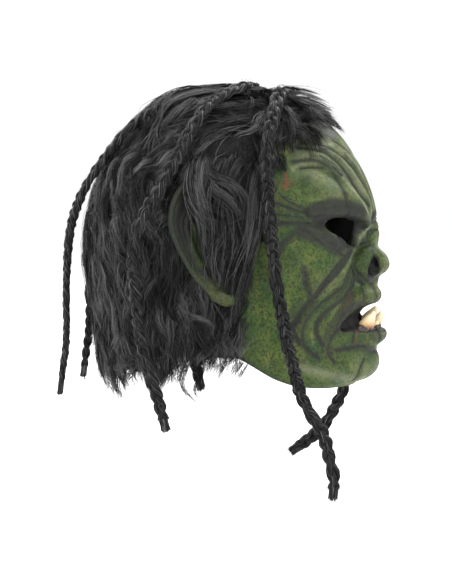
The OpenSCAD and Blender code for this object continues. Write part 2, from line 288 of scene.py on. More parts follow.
def latex_paint():
    """Mottled green over yellow-green, black wash with painted shade in the folds, pale paint with painted highlights
    on the ridges.
    """
    s = Shader("latex_paint", 0.5, Specular_IOR_Level=0.28)
    base = s.ramp(s.noise(45, 3, 0.55), (0.34, (0.030, 0.066, 0.011)), (0.50, (0.062, 0.098, 0.017)),
                  (0.66, (0.105, 0.128, 0.026)))
    moss = s.ramp(s.noise(110, 4, 0.6), (0.48, 0.0), (0.62, 0.6))
    base = s.mix(moss, base, (0.030, 0.088, 0.012))
    ochre = s.ramp(s.noise(170, 3, 0.6), (0.57, 0.0), (0.70, 0.45))
    base = s.mix(ochre, base, (0.120, 0.122, 0.024))
    teal = s.ramp(s.noise(60, 2, 0.5), (0.64, 0.0), (0.72, 0.5))
    base = s.mix(teal, base, (0.016, 0.078, 0.034))
    speckle = s.ramp(s.noise(420, 4, 0.70), (0.40, 0.72), (0.54, 0.0))
    base = s.mix(speckle, base, (0.008, 0.013, 0.004))
    dots = s.ramp(s.cells(300), (0.10, 0.95), (0.24, 0.0))
    rare = s.ramp(s.noise(230, 2), (0.44, 0.0), (0.54, 1.0))
    base = s.mix(s.math("MULTIPLY", dots, rare), base, (0.006, 0.009, 0.004))
    # Painted highlight: ridges and broad lit places are lightened towards pale green, partly real pale paint.
    pale_and_highlight = s.math("MULTIPLY", s.attribute("pale_and_highlight"), s.ramp(s.noise(140, 3), (0.30, 0.35), (0.62, 0.95)))
    base = s.mix(pale_and_highlight, base, (0.300, 0.330, 0.205))
    # Painted shade: creases, eye sockets and hollows are darkened towards near black, partly a real dark wash.
    wash_and_shade = s.math("MULTIPLY", s.attribute("wash_and_shade"), s.ramp(s.noise(180, 4, 0.7), (0.22, 0.80), (0.52, 1.0)))
    base = s.mix(wash_and_shade, base, (0.014, 0.014, 0.014))
    base = s.mix(s.attribute("blush"), base, (0.150, 0.034, 0.022))
    # Black inside of the mask; on the ears this amount is painted shade in the bowl inside the rim.
    base = s.mix(s.attribute("inside"), base, (0.004, 0.004, 0.004))
    grain = s.bump(s.noise(900, 4, 0.7), 0.0005, 0.55)
    pores = s.bump(s.cells(520), 0.0006, 0.35, Normal=grain)
    lines = s.bump(s.noise(1, 5, 0.6, s.stretched(150, 150, 520)), 0.0012, 0.35, Normal=pores)
    rough = s.ramp(s.noise(240, 3), (0.35, 0.46), (0.65, 0.66))
    return s.finish(Base_Color=base, Normal=lines, Roughness=rough)


def tooth_ivory():
    """Cream at the tips, darker orange-brown towards the roots."""
    s = Shader("tooth_ivory", 0.22, Specular_IOR_Level=0.6, Coat_Weight=0.5, Coat_Roughness=0.12)
    root_darkening = s.attribute("root_darkening")
    mottle = s.ramp(s.noise(420, 4, 0.6), (0.30, 0.0), (0.70, 0.55))
    level = s.math("ADD", root_darkening, s.math("MULTIPLY", mottle, 0.35))
    cream = s.ramp(level, (0.10, (0.78, 0.66, 0.44)), (0.40, (0.64, 0.43, 0.20)), (0.85, (0.22, 0.09, 0.03)))
    return s.finish(Base_Color=cream, Normal=s.bump(s.noise(700, 3, 0.6), 0.0006, 0.35))


def gum_skin():
    s = Shader("gum_skin", 0.3, Specular_IOR_Level=0.55)
    flesh = s.ramp(s.noise(260, 4), (0.35, (0.016, 0.012, 0.010)), (0.65, (0.060, 0.036, 0.028)))
    return s.finish(Base_Color=flesh, Normal=s.bump(s.noise(480, 4, 0.65), 0.0012, 0.6))


def fibre(name, grey, roughness, sheen):
    """A plain fibre tone; the strands themselves give the texture."""
    return Shader(name, roughness, Specular_IOR_Level=sheen).finish(Base_Color=(grey, grey * 0.99, grey * 0.985))


def undercoat_black():
    s = Shader("undercoat_black", 0.9, Specular_IOR_Level=0.1)
    black = s.ramp(s.noise(1, 4, 0.6, s.stretched(700, 700, 90)), (0.35, 0.006), (0.70, 0.030))
    return s.finish(Base_Color=black, Normal=s.bump(s.noise(1, 4, 0.6, s.stretched(900, 900, 110)), 0.002, 0.8))


LATEX = latex_paint()
IVORY = tooth_ivory()
GUM = gum_skin()
UNDERCOAT = undercoat_black()
FUR_TONES = [fibre("fur_deep", 0.006, 0.60, 0.10), fibre("fur_dark", 0.020, 0.50, 0.25),
             fibre("fur_mid", 0.056, 0.44, 0.45), fibre("fur_light", 0.135, 0.42, 0.50)]
PLAIT_TONES = [fibre("plait_deep", 0.005, 0.50, 0.20), fibre("plait_black", 0.012, 0.42, 0.40),
               fibre("plait_grey", 0.036, 0.36, 0.60), fibre("plait_shine", 0.100, 0.32, 0.75)]


# ---------------------------------------------------------------- the head's skin

# Horizontal sections as in the CAD: height, half width, front, widest place, back.
SECTIONS = np.array([
    [-60, 57, -108, -5, 77], [-40, 58, -112, -5, 78], [0, 60, -118, -5, 82], [8, 63, -131, -4, 86],
    [20, 67, -138, -2, 89], [40, 70, -137, 2, 93], [62, 74, -132, 5, 97], [84, 78, -127, 8, 101],
    [105, 81, -126, 10, 103], [128, 83, -127, 10, 103], [150, 85, -136, 8, 100],
    [172, 84, -132, 6, 94], [194, 79, -123, 2, 85], [211, 72, -114, -4, 73],
    [225, 61, -102, -8, 58], [236, 48, -85, -12, 42], [242, 33, -64, -15, 20], [246, 6, -24, -18, -12]],
    float)
CROWN_Z = 246
# Bumps as in the CAD: side, height, two widths, push.
BUMPS = [
    (0, 106, 11, 13, 22), (0, 130, 8, 16, 13.2), (14, 104, 9, 10, 8), (0, 80, 24, 10, 12),
    (0, 46, 24, 10, 12), (0, 16, 26, 12, 3), (34, 160, 15, 10, 5), (52, 112, 14, 20, 6)]
RIM_SIDE = 36
RIM_BACK = 18
WALL = 3


def section(z):
    """Half width, front, widest place and back of the head at heights z, on smooth curves."""
    z = np.clip(z, SECTIONS[0, 0], CROWN_Z - 0.01)
    heights = SECTIONS[:, 0]
    i = np.clip(np.searchsorted(heights, z, side="right") - 1, 0, len(heights) - 2)
    gap = heights[i + 1] - heights[i]
    t = (z - heights[i]) / gap
    slopes = np.gradient(SECTIONS[:, 1:], heights, axis=0)
    low, high = SECTIONS[i, 1:], SECTIONS[i + 1, 1:]
    m0, m1 = slopes[i] * gap[..., None], slopes[i + 1] * gap[..., None]
    t = t[..., None]
    value = ((2 * t ** 3 - 3 * t ** 2 + 1) * low + (t ** 3 - 2 * t ** 2 + t) * m0
             + (3 * t ** 2 - 2 * t ** 3) * high + (t ** 3 - t ** 2) * m1)
    return np.moveaxis(value, -1, 0)


def bump_push(x, z):
    return sum(push * np.exp(-((np.abs(x) - side) / wide) ** 2 - ((z - height) / tall) ** 2)
               for side, height, wide, tall, push in BUMPS)


def skin(z, phi):
    """Points of the skin at heights z and bearings phi (degrees from the front towards the left)."""
    z, phi = np.broadcast_arrays(np.asarray(z, float), np.radians(phi))
    a, front, wide, back = section(z)
    x = a * np.sin(phi)
    reach = np.where(np.cos(phi) > 0, wide - front, back - wide)
    y = wide - reach * np.cos(phi) - bump_push(x, z) * np.maximum(0, np.cos(phi))
    return np.stack([x, y, z], axis=-1)


def face_y(x, z):
    """The skin's y at a place seen from the front."""
    a, front, wide, _ = section(np.asarray(z, float))
    lean = np.sqrt(np.clip(1 - (np.asarray(x, float) / a) ** 2, 0.0, 1))
    return wide - (wide - front) * lean - bump_push(x, z) * lean


def rim_height(x, y):
    """Height of the mask's lower edge below the place (x, y)."""
    turn = np.arctan2(np.abs(x), -(y + 5))
    front = RIM_SIDE * np.sin(np.minimum(turn, np.pi / 2)) ** 4
    rear = RIM_SIDE + (RIM_BACK - RIM_SIDE) * smooth_step((turn - np.pi / 2) / (np.pi / 2))
    return np.where(turn < np.pi / 2, front, rear)


def base_distance(x, y, z):
    """Roughly the signed distance to the skin; the arrays are an open grid along x, y and z."""
    a, front, wide, back = section(z)
    push = bump_push(x, z) * smooth_step(-y / 40.0)
    v = y + push - wide
    reach = np.where(v < 0, wide - front, back - wide)
    q = np.sqrt((x / a) ** 2 + (v / reach) ** 2)
    slope = np.sqrt((x / a ** 2) ** 2 + (v / reach ** 2) ** 2) / np.maximum(q, 1e-6)
    return (q - 1) / np.maximum(slope, 1.0 / 90)


# ---------------------------------------------------------------- volume sculpting

def soft_join(a, b, soft):
    """The smaller of two distances, rounded where they meet."""
    h = np.clip(0.5 + 0.5 * (a - b) / soft, 0, 1)
    return a * (1 - h) + b * h - soft * h * (1 - h)


class Clay:
    """A grid of signed distances that shapes are blended into and cut out of."""

    def __init__(self, low, high, step):
        self.step = step
        self.low = np.array(low, float)
        self.axes = [np.arange(a, b + step, step) for a, b in zip(low, high)]
        self.x, self.y, self.z = np.meshgrid(*self.axes, indexing="ij", sparse=True)
        self.field = None

    def window(self, points, margin):
        lo = points.min(axis=0) - margin
        hi = points.max(axis=0) + margin
        cut = []
        for start, end, low, axis in zip(lo, hi, self.low, self.axes):
            first = int(np.clip((start - low) / self.step, 0, len(axis) - 1))
            cut.append(slice(first, int(np.clip((end - low) / self.step + 2, first + 1, len(axis)))))
        return tuple(cut)

    def to_line(self, points, radii, cut):
        """Distance to a round-ended rod that follows the points, with a radius at each."""
        x, y, z = self.x[cut[0]], self.y[:, cut[1]], self.z[:, :, cut[2]]
        best = None
        for (p, q, r, s) in zip(points[:-1], points[1:], radii[:-1], radii[1:]):
            d = q - p
            t = ((x - p[0]) * d[0] + (y - p[1]) * d[1] + (z - p[2]) * d[2]) / max(d @ d, 1e-9)
            t = np.clip(t, 0, 1)
            gap = np.sqrt((x - p[0] - t * d[0]) ** 2 + (y - p[1] - t * d[1]) ** 2
                          + (z - p[2] - t * d[2]) ** 2) - (r + (s - r) * t)
            best = gap if best is None else np.minimum(best, gap)
        return best

    def rod(self, points, radii, soft, cut_out=False, fine=3.0):
        """Adds a rod to the clay, or carves it out, with a soft joint of the given width."""
        points = np.asarray(points, float)
        radii = np.broadcast_to(np.asarray(radii, float), (len(points),))
        line = spline(np.column_stack([points, radii]), fine)
        path, width = line[:, :3], np.maximum(line[:, 3], 0.2)
        cut = self.window(path, width.max() + soft + 2 * self.step)
        gap = self.to_line(path, width, cut)
        sign = -1 if cut_out else 1
        self.field[cut] = sign * soft_join(sign * self.field[cut], gap, soft)

    def sample(self, points):
        """The field at points, by straight-line interpolation."""
        place = (np.asarray(points) - self.low) / self.step
        shape = np.array(self.field.shape)
        base = np.clip(np.floor(place).astype(int), 0, shape - 2)
        t = np.clip(place - base, 0, 1)
        value = 0.0
        for corner in range(8):
            pick = [(corner >> k) & 1 for k in range(3)]
            weight = np.prod([np.where(pick[k], t[:, k], 1 - t[:, k]) for k in range(3)], axis=0)
            value = value + weight * self.field[base[:, 0] + pick[0], base[:, 1] + pick[1], base[:, 2] + pick[2]]
        return value

    def surface(self, name):
        """The zero surface as a mesh object."""
        grid = openvdb.FloatGrid(background=10.0)
        grid.copyFromArray(np.ascontiguousarray(self.field, dtype=np.float32))
        points, triangles, quads = grid.convertToPolygons(isovalue=0.0, adaptivity=0.0)
        points = points * self.step + self.low
        if len(triangles):
            quads = np.vstack([quads, np.column_stack([triangles, triangles[:, 2]])])
        return new_mesh(name, points, quads[:, ::-1])


def on_face(places, out=0.0):
    """Points of the wearer's left half of the face from (x, z) places, moved out of the skin."""
    places = np.asarray(places, float)
    x, z = places[:, 0], places[:, 1]
    y = face_y(x, z)
    e = 0.5
    slope_x = (face_y(x + e, z) - face_y(x - e, z)) / (2 * e)
    slope_z = (face_y(x, z + e) - face_y(x, z - e)) / (2 * e)
    normal = unit(np.stack([slope_x, -np.ones_like(x), slope_z], axis=-1))
    return np.stack([x, y, z], axis=-1) + normal * out


# Furrows of the wearer's left half: width, depth below the skin, places (x, z) across the face.
FURROWS = {
    "brow_ring": (1.6, 0.2, [(46, 152), (46, 163), (45, 174), (44, 183), (45, 191), (49, 198), (54, 201), (62, 200)]),
    "forehead_1": (1.5, 0.2, [(24, 160), (27, 168), (29, 174), (32, 186), (36, 196), (41, 204), (47, 210), (57, 212)]),
    "forehead_2": (1.5, 0.2, [(16, 152), (15, 160), (15, 170), (17, 181), (22, 193), (29, 203), (36, 210), (44, 215)]),
    "forehead_3": (1.3, 0.0, [(3, 156), (4, 168), (5, 180), (8, 192), (13, 203), (20, 212), (26, 217)]),
    "forehead_4": (1.1, 0.3, [(40, 187), (45, 192), (54, 195), (61, 194)]),
    "forehead_5": (0.9, 0.3, [(30, 172), (35, 184), (41, 195), (48, 204)]),
    "crow_1": (1.0, 0.3, [(66, 160), (70, 164), (73, 171)]),
    "crow_2": (1.0, 0.3, [(67, 157), (71, 160), (75, 165)]),
    "crow_3": (0.9, 0.3, [(67, 153), (71, 154), (75, 156)]),
    "crow_4": (1.3, 0.1, [(64, 148), (70, 149), (76, 149)]),
    "crow_5": (1.1, 0.2, [(66, 143), (69, 137), (72, 130)]),
    "bag": (1.2, 0.2, [(65, 142), (59, 134), (52, 127), (44, 120), (37, 118)]),
    "bag_fine_1": (0.7, 0.4, [(63, 138), (57, 130), (50, 123)]),
    "bag_fine_2": (0.7, 0.4, [(58, 138), (51, 131), (44, 125)]),
    "nose_cheek": (1.9, -0.2, [(16, 131), (20, 122), (28, 111), (33, 103), (36, 94), (42, 87), (49, 80), (54, 73),
                               (57, 64), (58, 52), (56, 40), (51, 30)]),
    "cheek_fold": (2.0, -0.2, [(34, 121), (40, 115), (46, 107), (51, 97), (54, 88), (57, 78), (60, 68), (62, 58)]),
    "cheek_groove": (1.7, 0.2, [(61, 106), (60, 98), (58, 91), (56, 84)]),
    "wing_top": (1.4, 0.0, [(8, 127), (15, 125), (22, 120), (27, 112), (26, 105), (22, 100), (17, 96), (9, 91)]),
    "mouth_corner": (1.6, 0.0, [(42, 56), (45, 48), (47, 40), (47, 33), (44, 25)]),
    "lip_under": (2.2, -0.6, [(0, 30), (10, 31), (20, 35), (28, 38), (36, 37), (43, 36)]),
    "lip_split": (1.1, 0.2, [(30, 54), (33, 48), (34, 41)]),
    "lip_nick": (0.9, 0.2, [(12, 54), (13, 47), (12, 40)]),
    "philtrum_side": (1.0, 0.3, [(8, 90), (9, 83), (10, 76)]),
    "lip_line_1": (0.9, 0.3, [(18, 90), (21, 82), (23, 75)]),
    "lip_line_2": (1.1, 0.2, [(28, 96), (32, 86), (36, 76), (41, 66)]),
    "chin_side": (1.0, 0.3, [(24, 26), (27, 17), (26, 8)]),
    "nose_root_1": (1.1, 0.0, [(0, 146), (6, 145), (11, 143)]),
    "nose_root_2": (1.0, 0.0, [(0, 138), (6, 138), (10, 136)]),
    "nose_side": (1.0, 0.1, [(9, 137), (8, 128), (5, 119)])}

# Rolls of flesh: radius, place out of the skin, places (x, z).
ROLLS = {
    "brow": (12, -6.5, [(44, 167), (52, 176), (60, 184)]),
    "brow_edge": (5.5, -0.5, [(64, 159), (54, 161), (42, 159), (32, 153), (22, 146)]),
    "brow_inner": (5, -2.0, [(33, 152), (36, 163), (37, 175), (39, 186), (44, 196), (52, 205)]),
    "ridge_1": (4.5, -2.2, [(20, 154), (20, 166), (23, 177), (28, 190), (34, 200), (42, 208)]),
    "ridge_2": (4.5, -2.6, [(8, 152), (9, 166), (11, 180), (15, 192), (22, 204)]),
    "lid_top": (2.8, -0.6, [(60, 152), (50, 154), (38, 153), (28, 150), (19, 144)]),
    "lid_low": (3.2, -1.2, [(64, 147), (57, 139), (49, 134), (43, 125), (34, 121), (24, 126), (15, 135)]),
    "bag": (5.5, -3.2, [(64, 144), (57, 134), (49, 127)]),
    "inner_ridge": (4.0, -1.2, [(17, 134), (24, 125), (32, 117), (38, 112)]),
    "fold": (7.0, -3.2, [(32, 112), (40, 102), (46, 94), (52, 84), (56, 74), (59, 62), (57, 46)]),
    "cheek": (15, -11.0, [(66, 118), (71, 104)]),
    "lip_fold": (6.5, -3.6, [(30, 100), (36, 90), (43, 80), (49, 68), (51, 54), (49, 40)]),
    "lip_top": (8.0, -3.5, [(0, 81), (12, 81), (22, 80), (30, 76), (37, 69), (42, 61)]),
    "lip_low": (7.5, -6.6, [(0, 42), (14, 43), (26, 46), (35, 48), (42, 52)]),
    "chin": (15, -12.5, [(0, 15), (12, 15)]),
    "philtrum": (9, -4.0, [(0, 92), (9, 91)]),
    "jaw": (9, -6.5, [(24, 12), (42, 16), (56, 26)])}


# The slit of the nostril, seen from the side.
NOSTRIL = [(20, -138.5, 96), (21, -137, 104), (16, -137.5, 113)]
NOSTRIL_DEEP = [(15, -139, 98), (15.5, -138, 105), (12, -138, 112)]
# The mouth's opening: place across, height, radius, and how far back it is cut.
MOUTH = [(0, 61, 10.5, -95), (8, 61.5, 10.0, -95), (15, 61.8, 9.5, -131), (21, 62.0, 9.2, -128),
         (27, 61.5, 8.2, -121), (33, 59.5, 6.5, -115), (38, 57, 4.5, -109)]


def settle(clay, places):
    """Points of the sculpted surface above the (x, z) places, and the skin's normals there."""
    low, high = on_face(places, -8.0), on_face(places, 16.0)
    out = unit(high - low)
    track = high[:, None] + (low - high)[:, None] * np.linspace(0, 1, 61)[None, :, None]
    level = clay.sample(track.reshape(-1, 3)).reshape(len(track), -1)
    first = np.argmax(level < 0, axis=1)
    first[level.min(axis=1) >= 0] = 40  # nothing met: the unsculpted skin
    return track[np.arange(len(track)), first], out


def drawn_lines(clay, table):
    """The table's lines laid on the sculpted surface: width, amount, surface points."""
    return [(row[0], row[1], settle(clay, spline(row[2], 3.0))[0]) for row in table]


# The grid step of the head, and how far its grid reaches to each side.
HEAD_STEP = 1.25
HEAD_HALF = 76 * HEAD_STEP


def sculpt_face():
    """The whole latex head as one volume: skin, rolls, furrows, holes, hollow inside and open neck."""
    top = (HEAD_HALF, 113, 251)
    clay = Clay((HEAD_STEP / 2 - HEAD_HALF, -163, -8), top, HEAD_STEP)
    half = Clay((HEAD_STEP / 2, -163, -8), top, HEAD_STEP)
    half.field = base_distance(half.x, half.y, half.z)
    tilt = np.gradient(half.field, half.step, axis=2)
    half.field = half.field / np.sqrt(1 + np.clip(tilt, -6, 6) ** 2)
    half.field = np.maximum(half.field, half.z - CROWN_Z)
    x, z = half.x, half.z
    thick = WALL + 9 * np.exp(-((x - 29) / 13) ** 4 - ((z - 59) / 17) ** 4)
    thick = thick + 24 * np.exp(-(x / 13) ** 4 - ((z - 126) / 38) ** 4) * smooth_step((-half.y - 60) / 40)
    inside = half.field + thick
    for radius, out, places in ROLLS.values():
        half.rod(on_face(places, out), radius, 4.0)
    half.rod([(15, -129, 100), (17, -128, 109), (13, -132, 117)], [8.5, 9.5, 6.5], 4.0)
    half.rod([(0, -140.5, 108), (7, -139, 107)], [9.5, 8.5], 4.0)
    half.rod([(16, -130, 115), (9, -136, 117), (2, -141, 112)], [6.0, 6.5, 7.0], 4.0)
    # eye socket, then the furrows
    half.rod(on_face([(62, 149), (48, 147), (34, 142), (20, 137)], 4.6), [5.5, 8, 8.5, 5], 3.0, True)
    drawn = {name: drawn_lines(half, table) for name, table in
             (("furrows", FURROWS.values()), ("washes_and_shade", WASHES_AND_SHADE), ("pales_and_highlights", PALES_AND_HIGHLIGHTS), ("blushes", BLUSHES))}
    for width, depth, places in FURROWS.values():
        surface, out = settle(half, spline(places, 3.0))
        order = np.arange(len(surface))
        ends = width * (0.35 + 0.65 * np.clip(np.minimum(order, order[::-1]) / 3.0, 0, 1))
        half.rod(surface + out * (0.35 * width - depth), ends, 1.6, True)
    # hollow it, then cut the holes through the wall
    half.field = np.maximum(half.field, -np.maximum(inside, half.field + WALL))
    for x, z, radius in ((47, 145, 6.5), (41, 143, 8.0), (34, 140, 8.5), (30, 134, 6.0), (27, 129, 3.5)):
        half.rod([(x, -150, z), (x, -90, z)], radius, 1.5, True)
    for x, z, radius, end in MOUTH:
        half.rod([(x, -158, z), (x, end - radius, z)], radius, 3.0, True)
    half.rod(NOSTRIL, [3.4, 4.2, 2.4], 1.5, True)
    half.rod(NOSTRIL_DEEP, [3.0, 4.2, 2.2], 1.5, True)
    half.rod([(14.5, -139, 104), (15, -120, 106), (16, -98, 108)], 3.8, 1.5, True)
    # lower edge and the turned-in web under the chin
    edge = rim_height(half.x, half.y)
    outline = base_distance(half.x, half.y, np.maximum(half.z, edge + 2))
    neck = (np.sqrt((half.x / 61) ** 2 + ((half.y + 4) / 82) ** 2) - 1) * 66
    sheet = np.maximum(np.maximum(outline, np.abs(half.z - edge - 2.5) - 1.5), -neck)
    half.field = np.maximum(half.field, edge + 1 - half.z)
    half.field = soft_join(half.field, sheet, 3.0)
    clay.field = np.concatenate([half.field[::-1], half.field], axis=0)
    clay.low[0] = -half.axes[0][-1]
    return clay, drawn


def line_gap(points, line):
    """Shortest distance from each point to a line through the given points."""
    best = np.full(len(points), 1e9)
    for p, q in zip(line[:-1], line[1:]):
        d = q - p
        t = np.clip(((points - p) @ d) / max(d @ d, 1e-9), 0, 1)
        best = np.minimum(best, np.linalg.norm(points - p - t[:, None] * d, axis=1))
    return best


def mesh_arrays(obj):
    """Vertex places in millimetres, vertex normals and edges of a mesh object."""
    mesh = obj.data
    places = np.empty(len(mesh.vertices) * 3, np.float32)
    mesh.vertices.foreach_get("co", places)
    normals = np.empty(len(mesh.vertices) * 3, np.float32)
    mesh.vertex_normals.foreach_get("vector", normals)
    edges = np.empty(len(mesh.edges) * 2, np.int32)
    mesh.edges.foreach_get("vertices", edges)
    return places.reshape(-1, 3).astype(float) / MM, normals.reshape(-1, 3).astype(float), edges.reshape(-1, 2)


def neighbour_sum(values, edges):
    """For each vertex, the sum of a value over the vertices it shares an edge with."""
    a, b = edges.T
    return np.bincount(a, values[b], len(values)) + np.bincount(b, values[a], len(values))


def hollowness(places, normals, edges):
    """Positive in creases, negative on ridges, evened out a little."""
    count = np.maximum(np.bincount(edges.ravel(), minlength=len(places)), 1)
    middle = np.stack([neighbour_sum(places[:, k], edges) for k in range(3)], axis=1)
    value = ((middle / count[:, None] - places) * normals).sum(axis=1)
    for _ in range(3):
        value = 0.5 * value + 0.5 * neighbour_sum(value, edges) / count
    return value


def write_attribute(obj, name, values):
    layer = obj.data.attributes.new(name, "FLOAT", "POINT")
    layer.data.foreach_set("value", np.clip(values, 0, 1).astype(np.float32))


# Dark washes with painted shade: half width, strength, places (x, z); the eye sockets, lips and the creases beside the
# nose.
WASHES_AND_SHADE = [
    (9, 1.0, [(60, 151), (50, 150), (38, 147), (26, 142)]),
    (8, 0.92, [(64, 157), (56, 161), (47, 160), (38, 156)]),
    (6.5, 1.0, [(44, 136), (36, 130), (28, 130)]),
    (8.0, 0.88, [(66, 142), (58, 137), (50, 131), (44, 126)]),
    (5.0, 1.0, [(20, 142), (14, 146), (8, 151), (2, 153)]),
    (3.5, 0.8, [(40, 153), (32, 150), (22, 146)]),
    (2.0, 0.9, [(77, 148), (71, 148), (65, 148)]),
    (3.2, 0.8, [(71, 123), (70, 132), (68, 143)]),
    (1.8, 0.7, [(75, 166), (71, 160), (69, 155)]),
    (3.6, 0.75, [(62, 109), (60, 99), (57, 88), (56, 80)]),
    (2.6, 0.95, [(31, 122), (41, 110), (49, 98), (54, 87), (59, 73), (61, 58), (58, 44)]),
    (2.4, 0.9, [(22, 100), (28, 89), (40, 79), (50, 69), (53, 55), (50, 42)]),
    (5.0, 0.9, [(0, 72), (12, 72), (24, 73), (32, 72), (40, 62)]),
    (5.0, 0.9, [(0, 50), (12, 51), (24, 53), (34, 55), (42, 56)]),
    (4.0, 0.6, [(0, 42), (10, 43), (20, 46)]),
    (5, 0.7, [(46, 34), (48, 44), (47, 54), (42, 64)]),
    (5, 0.7, [(30, 84), (36, 76), (41, 66)]),
    (4, 0.6, [(30, 98), (36, 90), (43, 82)]),
    (4, 0.8, [(18, 94), (24, 100), (27, 108)]),
    (4, 0.7, [(10, 96), (4, 97), (0, 97)]),
    (5, 0.4, [(60, 78), (62, 64), (60, 48)]),
    (6, 0.50, [(58, 208), (46, 215), (28, 220), (14, 224), (0, 226)]),
    (6, 0.45, [(66, 206), (74, 190), (77, 170)]),
    (4, 0.6, [(0, 31), (14, 32), (28, 37)])]
# Paler paint with painted highlights: half width, strength, places (x, z).
PALES_AND_HIGHLIGHTS = [
    (14, 0.72, [(24, 172), (30, 188), (38, 200), (52, 206)]),
    (10, 0.35, [(50, 172), (56, 184), (60, 194)]),
    (12, 0.55, [(6, 165), (8, 185), (14, 205)]),
    (12, 0.30, [(0, 14), (14, 14), (26, 18)]),
    (6, 0.35, [(24, 128), (34, 118), (44, 106), (52, 92)]),
    (1.5, 1.0, [(27, 128), (20, 132), (14, 137), (8, 143), (3, 148)]),
    (1.2, 0.9, [(63, 140), (56, 133), (49, 126)]),
    (1.1, 0.8, [(67, 145), (62, 143), (57, 140)]),
    (3.0, 0.8, [(20, 154), (20, 166), (23, 176), (27, 186), (32, 197), (40, 206)]),
    (3.0, 0.8, [(29, 155), (33, 163), (36, 173), (39, 184), (44, 194), (50, 203)]),
    (2.6, 0.8, [(8, 152), (9, 166), (11, 180), (15, 192), (22, 204)]),
    (3.5, 0.7, [(0, 150), (0, 165), (0, 185), (0, 205)]),
    (4.0, 0.8, [(0, 146), (1, 134), (1, 120), (2, 110)]),
    (2.2, 0.9, [(52, 140), (46, 133), (38, 127), (30, 127), (22, 131), (15, 137)]),
    (6.0, 0.9, [(30, 216), (40, 214), (50, 208)]),
    (3.0, 0.6, [(48, 199), (56, 200), (64, 194)]),
    (2.5, 0.6, [(0, 46), (12, 47), (24, 50), (34, 52)]),
    (5.0, 0.5, [(0, 12), (14, 9), (28, 10), (44, 15), (58, 24)]),
    (2.5, 0.5, [(14, 136), (22, 128), (31, 119), (40, 111)]),
    (3.0, 0.5, [(0, 82), (10, 83), (18, 84)])]
# Reddish places: half width, strength, places (x, z).
BLUSHES = [
    (1.5, 0.85, [(71, 177), (69.5, 182), (68, 190)]),
    (0.9, 0.7, [(72, 180.5), (69.5, 182.5), (67, 184)]),
    (0.8, 0.4, [(72, 184.5), (69.5, 183), (68, 180)]),
    (1.9, 0.35, [(70.5, 179), (69.5, 184)]),
    (1.0, 0.45, [(29, 54), (31, 47), (32, 41)]),
    (2.6, 0.13, [(31, 84), (34, 78), (38, 72)])]


def paint_head(obj, drawn):
    """Per-vertex amounts of dark wash with painted shade, pale paint with painted highlights, blush and black inside.
    """
    places, normals, edges = mesh_arrays(obj)
    half = places.copy()
    half[:, 0] = np.abs(half[:, 0])
    hollow = hollowness(places, normals, edges)
    # Painted shade in the creases and painted highlight on the ridges, from the hollowness; partly a real dark wash
    # and pale paint.
    wash_and_shade = np.clip(hollow * 7.0, 0, 1) * 0.9
    pale_and_highlight = np.clip(-hollow * 6.0 - 0.1, 0, 1) * 0.7
    blush = np.zeros(len(places))
    front = half[:, 1] < 5
    face = half[front]
    face_wash_and_shade, face_pale_and_highlight, face_blush = wash_and_shade[front], pale_and_highlight[front], blush[front]
    # Painted shade along the furrows, darkest in their middle and fainter to each side.
    for width, _, line in drawn["furrows"]:
        gap = line_gap(face, line)
        face_wash_and_shade = np.maximum(face_wash_and_shade, 1.1 * np.exp(-(gap / (width + 0.45)) ** 2))
        face_wash_and_shade = np.maximum(face_wash_and_shade, 0.42 * np.exp(-(gap / (width * 3.0 + 0.8)) ** 2))
    for width, strength, line in drawn["washes_and_shade"]:
        gap = line_gap(face, line)
        face_wash_and_shade = np.maximum(face_wash_and_shade, strength * (1 - smooth_step((gap - width * 0.6) / (width * 0.8))))
    for width, strength, line in drawn["pales_and_highlights"]:
        gap = line_gap(face, line)
        face_pale_and_highlight = np.maximum(face_pale_and_highlight, strength * np.exp(-(gap / width) ** 2))
    for width, strength, line in drawn["blushes"]:
        gap = line_gap(face, line)
        side = 1.0 if width > 2 else (places[front, 0] < 0)
        face_blush = np.maximum(face_blush, strength * side * np.exp(-(gap / width) ** 2))
    wash_and_shade[front], pale_and_highlight[front], blush[front] = face_wash_and_shade, face_pale_and_highlight, face_blush
    pale_and_highlight = pale_and_highlight * (1 - 0.8 * wash_and_shade)
    level = base_distance(places[:, 0], places[:, 1], places[:, 2])
    inward = np.clip((-1.2 - level) / 1.0, 0, 1)
    facing = (normals * unit(places - [0, -10, 120])).sum(axis=1)
    inside = np.clip(2 * inward * (1 - smooth_step((facing + 0.05) / 0.35)), 0, 1)
    slit = np.minimum(line_gap(half, np.array(NOSTRIL, float)), line_gap(half, np.array(NOSTRIL_DEEP, float)))
    inside = np.maximum(inside, 1 - smooth_step((slit - 4.3) / 1.6))
    hole = line_gap(half * [1, 0, 1], np.array([[47, 0, 145], [34, 0, 140], [27, 0, 129]], float))
    inside = np.maximum(inside, (1 - smooth_step((hole - 9.5) / 3)) * np.clip((-0.6 - level) / 1.2, 0, 1))
    inside = np.maximum(inside, (places[:, 2] > 40) * np.clip(-5 - level, 0, 1))
    mouth = (half[:, 0] < 42) & (np.abs(places[:, 2] - 61) < 14) & (level < -2.5)
    inside = np.maximum(inside, mouth * np.clip((-2.5 - level) / 1.5, 0, 1))
    across, high, wide = zip(*[cut[:3] for cut in MOUTH])
    gap = np.abs(places[:, 2] - np.interp(half[:, 0], across, high)) - np.interp(half[:, 0], across, wide)
    lips = (half[:, 0] < 40) & (places[:, 1] < -60)
    inside = np.maximum(inside, lips * (1 - smooth_step((gap - 0.2) / 1.2)))
    for name, amount in (("wash_and_shade", wash_and_shade), ("pale_and_highlight", pale_and_highlight), ("blush", blush), ("inside", inside)):
        write_attribute(obj, name, amount)


def make_head():
    clay, drawn = sculpt_face()
    head = clay.surface("latex_head_skin")
    paint_head(head, drawn)
    use_material(head, LATEX)
    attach(head, "mask")
    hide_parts("latex_head")


# ---------------------------------------------------------------- ears

EAR_RIM = [(82, -28, 172), (92, -8, 184), (97, 12, 184), (102, 24, 170), (103, 27, 150),
           (101, 22, 132), (97, 11, 110), (92, -3, 92), (88, -16, 82), (83, -26, 86)]
EAR_HEART = np.array([82.0, -8.0, 130.0])


